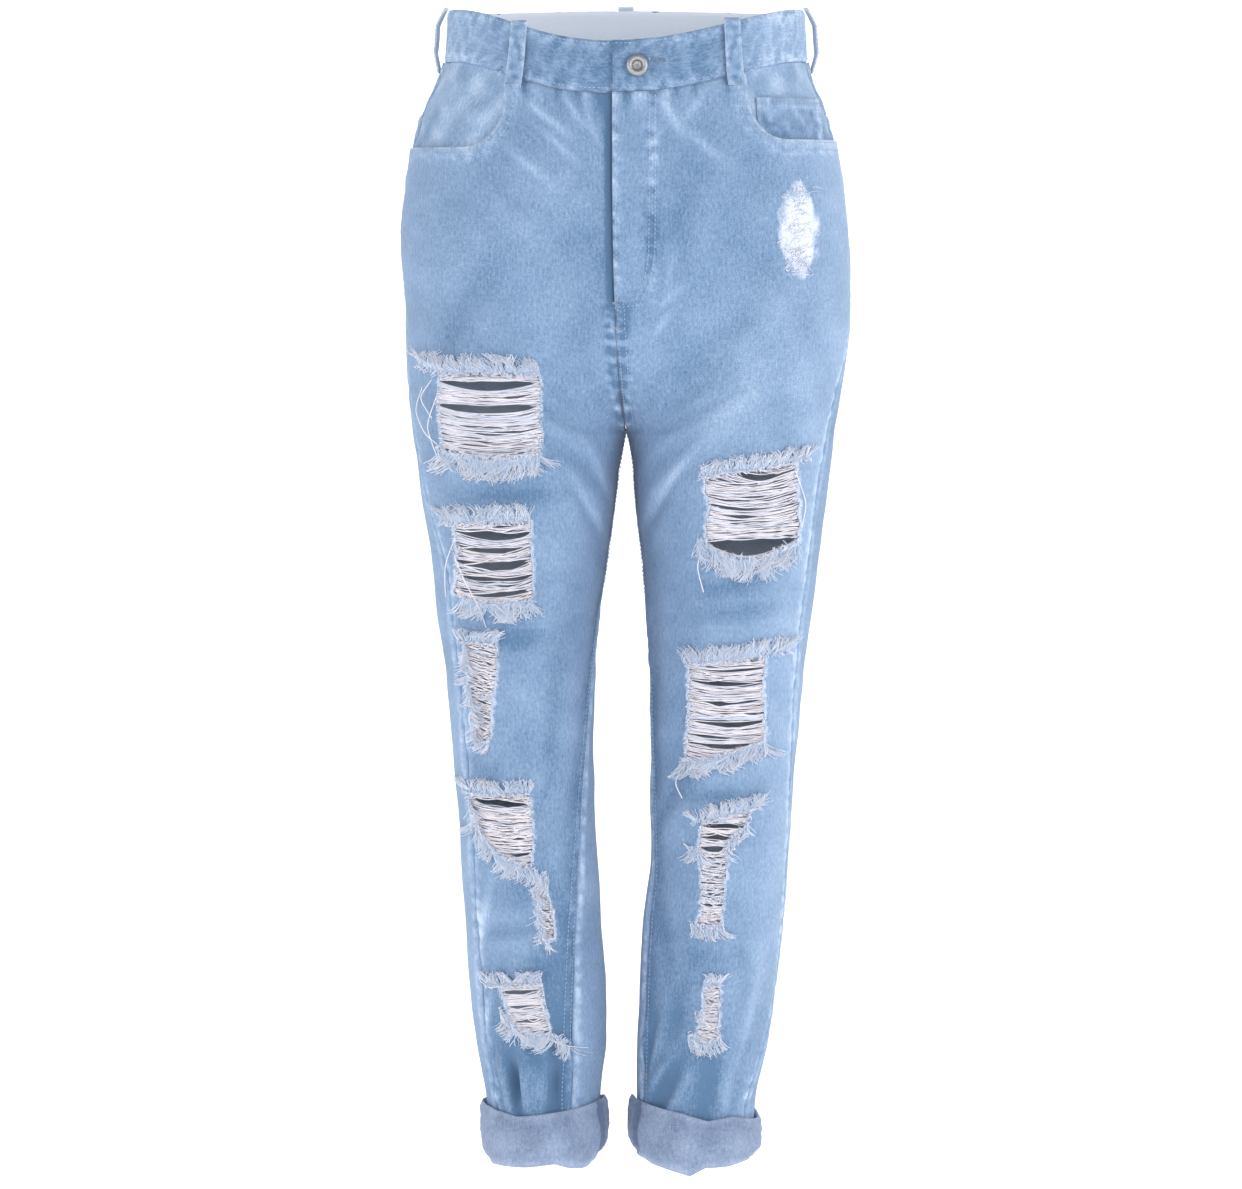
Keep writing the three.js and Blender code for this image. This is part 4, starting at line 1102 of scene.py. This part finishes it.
for side in ("left", "right"):
    rng = np.random.default_rng(101 if side == "left" else 102)
    lines = []
    thick = []
    tones = []
    for corners, (count, gaps, sag, slant, deep) in zip(RIPS[side], WEFT[side]):
        outline = np.array(corners, float)
        high = outline[:, 1].max() - 1
        low = outline[:, 1].min() + 1
        for number in range(count):
            part = (number + 0.5 + rng.uniform(-0.45, 0.45)) / count
            end = high + (low - high) * part
            spanned = span_at(outline, end)
            if spanned is None:
                continue
            middle = part
            for gap, half in gaps:
                reach = max(0.0, 1 - abs(part - gap) / (half * 2.6))
                middle += np.sign(part - gap) * half * reach
            shift = (middle - part) * (low - high)
            x_left = spanned[0] - HELD_IN
            x_right = spanned[1] + HELD_IN
            s = np.linspace(0, 1, 19)
            x = x_left + (x_right - x_left) * s
            bulge = np.sin(np.pi * np.clip(s, 0, 1)) ** 0.7
            stray = rng.normal(0, 1.3) + (rng.random() < 0.12) * rng.normal(0, 5)
            z = end + (slant + stray) * (s - 0.5) + shift * bulge
            z = z - sag * rng.uniform(0.6, 1.25) * 4 * s * (1 - s)
            wave = np.sin(2 * np.pi * s * rng.uniform(0.7, 2.2) + rng.uniform(0, 6))
            z = z + rng.normal(0, 0.8) * wave * bulge
            inward = 0.5 + deep * rng.uniform(0.2, 0.9) * bulge
            q = q_at(side, x, z)
            lines.append(lifted(side, q, z, -inward))
            thick.append(rng.uniform(0.6, 1.25) * (1 + 0.2 * np.sin(s * rng.uniform(5, 14))))
            tones.append(np.full(19, np.clip(rng.normal(0.84, 0.12), 0, 1)))
    threads = grown(f"weft_threads_{side}", lines, {"thick": thick, "tone": tones}, SPUN,
                    {"Radius": 0.00055, "Material": COTTON})
    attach(threads, "root")

# ---- Fringes ----
# Above and below each tear the cut ends of the warp stand up and hang down as soft pale tufts, and
# single threads have worked loose. The worn patch on the left hip is the same fuzz before it tears.

# side, line of x, z points along the torn edge, 1 for up or -1 for down, shortest and longest strand
FRINGES = [
    ("right", [(-160, -264), (-143, -270), (-110, -269), (-67, -271)], 1, 8, 18),
    ("right", [(-147, -331), (-125, -336), (-104, -338), (-85, -337), (-66, -334)], -1, 10, 22),
    ("right", [(-144, -386), (-118, -385), (-74, -383)], 1, 8, 18),
    ("right", [(-128, -446), (-104, -449), (-72, -447)], -1, 9, 20),
    ("right", [(-130, -478), (-100, -479)], 1, 6, 13),
    ("right", [(-124, -480), (-121, -515), (-116, -556), (-106, -559)], -1, 5, 11),
    ("right", [(-128, -597), (-100, -597), (-75, -596)], 1, 7, 14),
    ("right", [(-122, -606), (-114, -628), (-98, -649), (-74, -657), (-60, -666)], -1, 8, 17),
    ("right", [(-70, -676), (-68, -700), (-62, -714)], -1, 6, 14),
    ("right", [(-110, -749), (-84, -747), (-66, -746)], 1, 6, 13),
    ("right", [(-98, -768), (-84, -786), (-59, -788), (-45, -796)], -1, 8, 17),
    ("left", [(56, -350), (78, -346), (104, -343), (142, -335)], 1, 7, 15),
    ("left", [(55, -398), (64, -404), (76, -414), (103, -416), (133, -402)], -1, 10, 22),
    ("left", [(45, -496), (70, -493), (107, -488), (128, -486)], 1, 8, 17),
    ("left", [(42, -574), (66, -571), (90, -563), (108, -557)], -1, 9, 18),
    ("left", [(52, -620), (78, -614), (104, -607)], 1, 7, 14),
    ("left", [(48, -640), (58, -644)], -1, 8, 16),
    ("left", [(50, -700), (66, -704), (76, -700)], -1, 7, 14),
    ("left", [(76, -642), (82, -632), (94, -622)], -1, 6, 12),
    ("left", [(60, -748), (74, -747)], 1, 5, 11),
    ("left", [(48, -788), (63, -794), (74, -790)], -1, 7, 15),
    ("left", [(54, -772), (60, -768)], -1, 5, 10),
]
LOOSE = [
    ("right", [(-134, -410), (-124, -430), (-112, -452), (-108, -468)], 3.0),
    ("right", [(-132, -398), (-138, -420), (-140, -446)], 3.0),
    ("right", [(-158, -282), (-162, -300), (-154, -318), (-146, -326)], 3.0),
    ("right", [(-150, -276), (-157, -290), (-150, -306)], 3.5),
    ("right", [(-146, -288), (-152, -312), (-146, -336)], 3.0),
    ("right", [(-70, -786), (-50, -796), (-30, -800)], 2.5),
    ("right", [(-92, -748), (-104, -752), (-114, -748)], 2.5),
    ("left", [(130, -345), (138, -372), (133, -400)], 2.5),
    ("left", [(60, -402), (56, -420), (60, -440)], 2.5),
    ("left", [(44, -574), (40, -590), (44, -602)], 2.5),
]
T_STRAND = np.linspace(0, 1, 6)[None, :]


def strands(line, way, short, long, per_mm, rng):
    """Strands that grow from a line in tufts. Their x, z and height in mm, six points each."""
    line = np.array(line, float)
    lengths = np.hypot(*np.diff(line, axis=0).T)
    reach = np.concatenate([[0], np.cumsum(lengths)])
    count = int(reach[-1] * per_mm)
    start = np.sort(rng.uniform(0, reach[-1], count))
    base_x = np.interp(start, reach, line[:, 0])
    base_z = np.interp(start, reach, line[:, 1]) + rng.normal(0, 0.8, count)
    tuft = (start / 4.2 + rng.normal(0, 0.35, count)).astype(int)
    tuft = np.clip(tuft, 0, None)
    tufts = int(reach[-1] / 4.2) + 3
    lean = rng.normal(0, 0.34, tufts)[tuft] + rng.normal(0, 0.16, count)
    size = rng.uniform(0.5, 1.0, tufts)[tuft] * rng.uniform(0.72, 1.08, count)
    length = short + (long - short) * size
    bend = rng.normal(0, 0.6, tufts)[tuft] + rng.normal(0, 0.22, count)
    gather = 0.6 * ((tuft + 0.5) * 4.2 - start)
    stand = rng.uniform(0.6, 3.6, count)
    curl = rng.uniform(0.2, 1.3, count)[:, None] * np.sin(rng.uniform(4, 9, count)[:, None] * T_STRAND
                                                          + rng.uniform(0, 6, count)[:, None])
    sideways = np.sin(lean)[:, None] * T_STRAND + bend[:, None] * 0.45 * T_STRAND**2
    x = base_x[:, None] + length[:, None] * sideways + (curl + gather[:, None] * T_STRAND) * T_STRAND
    z = base_z[:, None] + way * length[:, None] * (np.cos(lean)[:, None] * T_STRAND - 0.2 * T_STRAND**2)
    height = 0.2 + stand[:, None] * np.sin(T_STRAND * 2.3)
    return x, z, height


for side in ("left", "right"):
    rng = np.random.default_rng(201 if side == "left" else 202)
    lines = []
    thick = []
    tones = []
    parts = []
    for fringe_side, line, way, short, long in FRINGES:
        if fringe_side == side:
            parts.append((strands(line, way, short, long, 5.4, rng), 0.3, 0.8))
            parts.append((strands(line, -way, short * 0.2, long * 0.3, 1.8, rng), 0.4, 0.8))
    for corners in RIPS[side]:
        outline = wobbly(corners, 11, 1.0)
        sides = rng.choice(len(outline), int(len(outline) * 1.5))
        base = outline[sides]
        centre = outline.mean(0)
        way_in = np.sign(centre[0] - base[:, 0])
        count = len(base)
        t = T_STRAND
        length = rng.uniform(-3, 7, count)[:, None]
        x = base[:, :1] + way_in[:, None] * length * t
        z = base[:, 1:] + rng.normal(0, 1.5, count)[:, None] * t**2 - 1.2 * t**2
        parts.append(((x, z, rng.uniform(0, 1.6, count)[:, None] * np.sin(2.6 * t)), 0.6, 1.0))
    if side == "left":
        count = 150
        centre_x = 133 + rng.normal(0, 6.5, count)[:, None]
        centre_z = -161 + rng.uniform(-34, 34, count)[:, None]
        t = 2 * T_STRAND - 1
        half = rng.uniform(1.2, 4.0, count)[:, None]
        x = centre_x + half * t
        z = centre_z + rng.normal(0, 1.6, count)[:, None] * t**2 + rng.normal(0, 0.8, count)[:, None] * t
        parts.append(((x, z, 0.2 + 0.3 * (1 - t**2) * rng.uniform(0, 1.0, count)[:, None]), 0.6, 0.9))
    for (x, z, height), low_tone, high_tone in parts:
        q = q_at(side, x, z)
        points = lifted(side, q, z, height + 0.3)
        tone_start = rng.uniform(low_tone, high_tone, len(points))
        for strand, tone_value in zip(points, tone_start):
            lines.append(strand)
            thick.append(np.linspace(1.15, 0.55, 6) * rng.uniform(0.7, 1.2))
            tones.append(np.clip(tone_value + np.linspace(-0.08, 0.12, 6), 0, 1))
    for loose_side, line, height in LOOSE:
        if loose_side == side:
            line = np.array(line, float)
            steps = np.linspace(0, len(line) - 1, 22)
            x = np.interp(steps, range(len(line)), line[:, 0])
            z = np.interp(steps, range(len(line)), line[:, 1])
            kernel = np.ones(5) / 5
            x[2:-2] = np.convolve(x, kernel, "valid")
            z[2:-2] = np.convolve(z, kernel, "valid")
            out = height * np.sin(np.linspace(0.1, 3.0, 22))
            lines.append(lifted(side, q_at(side, x, z), z, out))
            thick.append(np.full(22, 1.15))
            tones.append(np.full(22, 0.95))
    fringe = grown(f"fringes_{side}", lines, {"thick": thick, "tone": tones}, SPUN,
                   {"Radius": 0.00038, "Material": COTTON})
    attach(fringe, "root")

# ---- Topstitching ----
# Thick spun-polyester thread close to the denim's own colour but paler, in stitches 3 mm long: edge
# rows and twin rows along the seams, pockets, fly, waistband and belt loops.

STITCH, tree = new_material("pale_topstitch_thread")
place = add_node(tree, "ShaderNodeTexCoord").outputs["Object"]
twist = add_node(tree, "ShaderNodeTexNoise", {"Vector": place, "Scale": 500.0, "Detail": 2.0}).outputs[0]
colour = blend(tree, twist, linear("#8FA8C8"), linear("#ACC0DB"))
finish_material(tree, {"Base Color": colour, "Roughness": 0.8})


def stitch_tree():
    """Lays one low stitch on every pitch of each polyline, turned along it."""
    tree = bpy.data.node_groups.new("row_of_stitches", "GeometryNodeTree")
    group_input(tree, "Geometry", "NodeSocketGeometry")
    group_input(tree, "Pitch", "NodeSocketFloat", 0.0034)
    group_input(tree, "Stitch Size", "NodeSocketVector", (0.0013, 0.00036, 0.0003))
    group_input(tree, "Material", "NodeSocketMaterial")
    tree.interface.new_socket("Geometry", in_out="OUTPUT", socket_type="NodeSocketGeometry")
    given = add_node(tree, "NodeGroupInput").outputs
    curve = add_node(tree, "GeometryNodeMeshToCurve", {"Mesh": given["Geometry"]}).outputs[0]
    spread = add_node(tree, "GeometryNodeResampleCurve", {"Curve": curve, 3: given["Pitch"]}, mode="LENGTH")
    bead = add_node(tree, "GeometryNodeMeshIcoSphere", {"Radius": 1.0, "Subdivisions": 1}).outputs[0]
    tangent = add_node(tree, "GeometryNodeInputTangent").outputs[0]
    turn = add_node(tree, "FunctionNodeAlignRotationToVector", {"Vector": tangent}, axis="X").outputs[0]
    laid = add_node(tree, "GeometryNodeInstanceOnPoints", {"Points": spread.outputs[0], "Instance": bead,
                                                           "Rotation": turn,
                                                           "Scale": given["Stitch Size"]}).outputs[0]
    real = add_node(tree, "GeometryNodeRealizeInstances", {"Geometry": laid}).outputs[0]
    rounded = add_node(tree, "GeometryNodeSetShadeSmooth", {"Geometry": real}).outputs[0]
    done = add_node(tree, "GeometryNodeSetMaterial", {"Geometry": rounded, "Material": given["Material"]})
    add_node(tree, "NodeGroupOutput", {0: done.outputs[0]})
    return tree


rows_of_stitches = []


def sew(side, q, z, height):
    q, z = np.broadcast_arrays(np.asarray(q, float), np.asarray(z, float))
    rows_of_stitches.append(lifted(side, q, z, np.full(q.shape, height)))


def sew_seen(side, corners, height, back=False):
    """A row through x, z corners as seen from the front or the back."""
    corners = np.array(corners, float)
    reach = np.concatenate([[0], np.cumsum(np.hypot(*np.diff(corners, axis=0).T))])
    steps = np.linspace(0, reach[-1], max(2, int(reach[-1] / 3)))
    x = np.interp(steps, reach, corners[:, 0])
    z = np.interp(steps, reach, corners[:, 1])
    sew(side, q_at(side, x, z, back), z, height)


def offset_seen(corners, off):
    """The same line moved sideways, to the left of its run where off is positive."""
    corners = np.array(corners, float)
    run = np.gradient(corners, axis=0)
    run /= np.linalg.norm(run, axis=1, keepdims=True)
    return corners + off * np.stack([-run[:, 1], run[:, 0]], -1)


# waistband, edge rows top and bottom
for side in ("left", "right"):
    q = np.linspace(-0.99, 1, 160)
    sew(side, q, waist_top(q) - 2.6, 0.25)
    sew(side, q, waist_seam(q) + 2.8, 0.35)
# fly: the edge of the lap, the curved twin row and the seam below
for off in (0, 4.6):
    line = [(17.5 + off, -58), (17.5 + off, -150), (17.0 + off, -180), (14 + off, -198),
            (8 + off * 0.5, -213 - off), (-9, -216 - off)]
    sew_seen("left", line, 1.3)
for off in (2.2, 7.2):
    z = np.linspace(-222, -312, 40)
    sew("left", q_at("left", FLY_SHIFT(z) + off, z), z, 1.0)
z = np.linspace(-56, -216, 60)
sew("left", q_at("left", FLY_SHIFT(z) + 2.4, z), z, 1.9)
# pocket mouths, twin rows
for side in ("left", "right"):
    mouth = pocket_mouth(side)
    kept = mouth[(np.abs(mouth[:, 0]) < 176) & (mouth[:, 1] < -48)]
    kept = np.vstack([kept, [[SIGN[side] * (168 if side == "left" else 170), mouth[-2, 1]]]])
    for off in (2.4, 8.0):
        sew_seen(side, offset_seen(kept, -SIGN[side] * off), 1.6)
# coin pocket
sew_seen("left", [(102, -66.5), (153, -67)], -0.4)
sew_seen("left", [(102, -61), (153, -61.5)], -0.4)
sew_seen("left", [(151, -60), (153, -88)], -0.5)
# yokes, seat seam and back pockets
for side in ("left", "right"):
    q = np.linspace(0.03, 0.995, 90)
    for off in (2.4, 8.0):
        sew(side, q, yoke_seam(q) - off, 1.35)
    sign = SIGN[side]
    for off in (2.2, 7.8):
        inset = [(32 + off, -101), (37 + off, -206 + off * 0.4), (80, -224 + off),
                 (124 - off, -196 + off * 0.4), (130 - off, -92)]
        sew_seen(side, [(sign * x, z) for x, z in inset], 2.6, back=True)
    sew_seen(side, [(sign * 34, -111), (sign * 129, -102)], 2.5, back=True)
for off in (2.4, 8.0):
    z = np.linspace(float(waist_seam(1.0)), -310, 110)
    sew("left", q_at("left", off, z, back=True), z, 1.2)
# inseams, twin rows on the front
for side in ("left", "right"):
    z = np.linspace(-322, -846, 200)
    seam = -1 + INSEAM[side](z)
    step = np.linalg.norm(on_form(side, seam + 0.02, z) - on_form(side, seam, z), axis=-1) / 0.02
    for off in (2.4, 8.0):
        sew(side, seam + off / step, z, 1.1)
# belt loops, a row near each edge
for name, side, q_loop, stand in LOOPS:
    v = np.linspace(0.03, 0.97, 24)
    for off in (-4.3, 4.3):
        q, z, lift = loop_place(side, q_loop, stand, off + 0.5 * np.sin(v * 4.0 + q_loop * 9), v)
        rows_of_stitches.append(lifted(side, q, z, lift + 1.6))
topstitching = grown("topstitching", rows_of_stitches, {}, stitch_tree(),
                     {"Pitch": 0.0034, "Material": STITCH})
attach(topstitching, "root")

# ---- Bar tacks and the buttonhole ----
# Dense zigzag stitching in the same thread: across both ends of each belt loop, at the foot of the fly
# and round the buttonhole, whose end shows beside the button.

tacks = []


def tack(side, q, z, height, wide, tall, strokes):
    """A zigzag of this many strokes, wide and tall in mm, centred on q and z."""
    step = np.linalg.norm(on_form(side, q + 0.01, z) - on_form(side, q - 0.01, z)) / 0.02
    steps = np.linspace(-0.5, 0.5, 2 * strokes)
    up = np.where(np.arange(2 * strokes) % 2 == 0, 0.5, -0.5)
    tacks.append(lifted(side, q + steps * wide / step, z + up * tall, np.full(2 * strokes, height)))


for name, side, q_loop, stand in LOOPS:
    top = float(waist_top(q_loop))
    tack(side, q_loop, top + 0.4, 3.1, 11, 1.8, 12)
    tack(side, q_loop, top + 3 - 50, 3.1, 11, 1.8, 12)
hole_q = float(q_at("left", np.array(24.0), np.array(-30.5)))
tack("left", hole_q, -30.5, 1.4, 13, 2.4, 14)
for x, z in ((-6.0, -217.0), (-5.0, -236.0)):
    tack("left", float(q_at("left", np.array(x), np.array(z))), z, 2.3, 8, 1.8, 9)
thick = [np.full(len(line), 1.0) for line in tacks]
tones = [np.full(len(line), 0.5) for line in tacks]
bar_tacks = grown("bar_tacks", tacks, {"thick": thick, "tone": tones}, SPUN,
                  {"Radius": 0.0004, "Material": COTTON})
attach(bar_tacks, "root")

# ---- Floor, light and camera ----
# A pale paper floor that turns up into a curved wall behind and at both sides, with large soft lights
# before it, as for a plain studio picture.

paper, tree = new_material("pale_studio_paper")
grain = add_node(tree, "ShaderNodeTexNoise", {"Scale": 30.0, "Detail": 2.0}).outputs[0]
colour = blend(tree, grain, linear("#F8F8F8"), linear("#FDFDFD"))
finish_material(tree, {"Base Color": colour, "Roughness": 1.0, "Emission Color": (1.0, 1.0, 1.0, 1.0),
                       "Emission Strength": 0.45})
FLOOR = -0.99
bend = np.linspace(0, math.pi / 2, 12)
reach = np.concatenate([[0.0], 6.0 + 1.5 * np.sin(bend), [7.5]])
rise = np.concatenate([[0.0], 1.5 - 1.5 * np.cos(bend), [6.0]])
turn = np.linspace(0, 2 * np.pi, 73)[:, None]
wall = smooth(-0.75, -0.35, np.sin(turn))
spread = reach * (1 + 0.3 * (1 - wall))
points = np.stack([spread * np.cos(turn), spread * np.sin(turn), FLOOR + rise * wall], -1).reshape(-1, 3)
index = np.arange(len(points)).reshape(len(turn), len(reach))
faces = np.stack([index[:-1, :-1], index[:-1, 1:], index[1:, 1:], index[1:, :-1]], -1).reshape(-1, 4)
floor = smooth_piece("floor", points, faces.tolist(), paper)

world = bpy.data.worlds.new("studio")
world.use_nodes = True
world.node_tree.nodes["Background"].inputs[0].default_value = (1.0, 1.0, 1.0, 1.0)
world.node_tree.nodes["Background"].inputs[1].default_value = 0.5
bpy.context.scene.world = world


def soft_light(name, place, aim, size, watts):
    light = bpy.data.lights.new(name, "AREA")
    light.energy = watts
    light.shape = "SQUARE"
    light.size = size
    lamp = bpy.data.objects.new(name, light)
    direction = np.array(aim) - np.array(place)
    lamp.location = place
    lamp.rotation_euler = Vector(direction).to_track_quat("-Z", "Y").to_euler()
    bpy.context.scene.collection.objects.link(lamp)


soft_light("key", (2.7, -2.5, 0.9), (0, 0, -0.45), 1.6, 50.0)
soft_light("fill", (-2.8, -2.4, 0.3), (0, 0, -0.45), 1.8, 30.0)
soft_light("front", (0.1, -4.2, 0.1), (0, 0, -0.5), 0.5, 26.0)
soft_light("back", (0.5, 2.0, 1.6), (0, 0, -0.4), 1.5, 20.0)

camera_data = bpy.data.cameras.new("camera")
camera_data.lens = 166.1
camera_data.sensor_width = 36.0
camera = bpy.data.objects.new("camera", camera_data)
camera.location = (-0.004, -4.5, -0.2)
camera.rotation_euler = (math.pi / 2 - math.atan2(0.246, 4.5), 0, 0)
bpy.context.scene.collection.objects.link(camera)
bpy.context.scene.camera = camera
bpy.context.scene.view_settings.view_transform = "Standard"
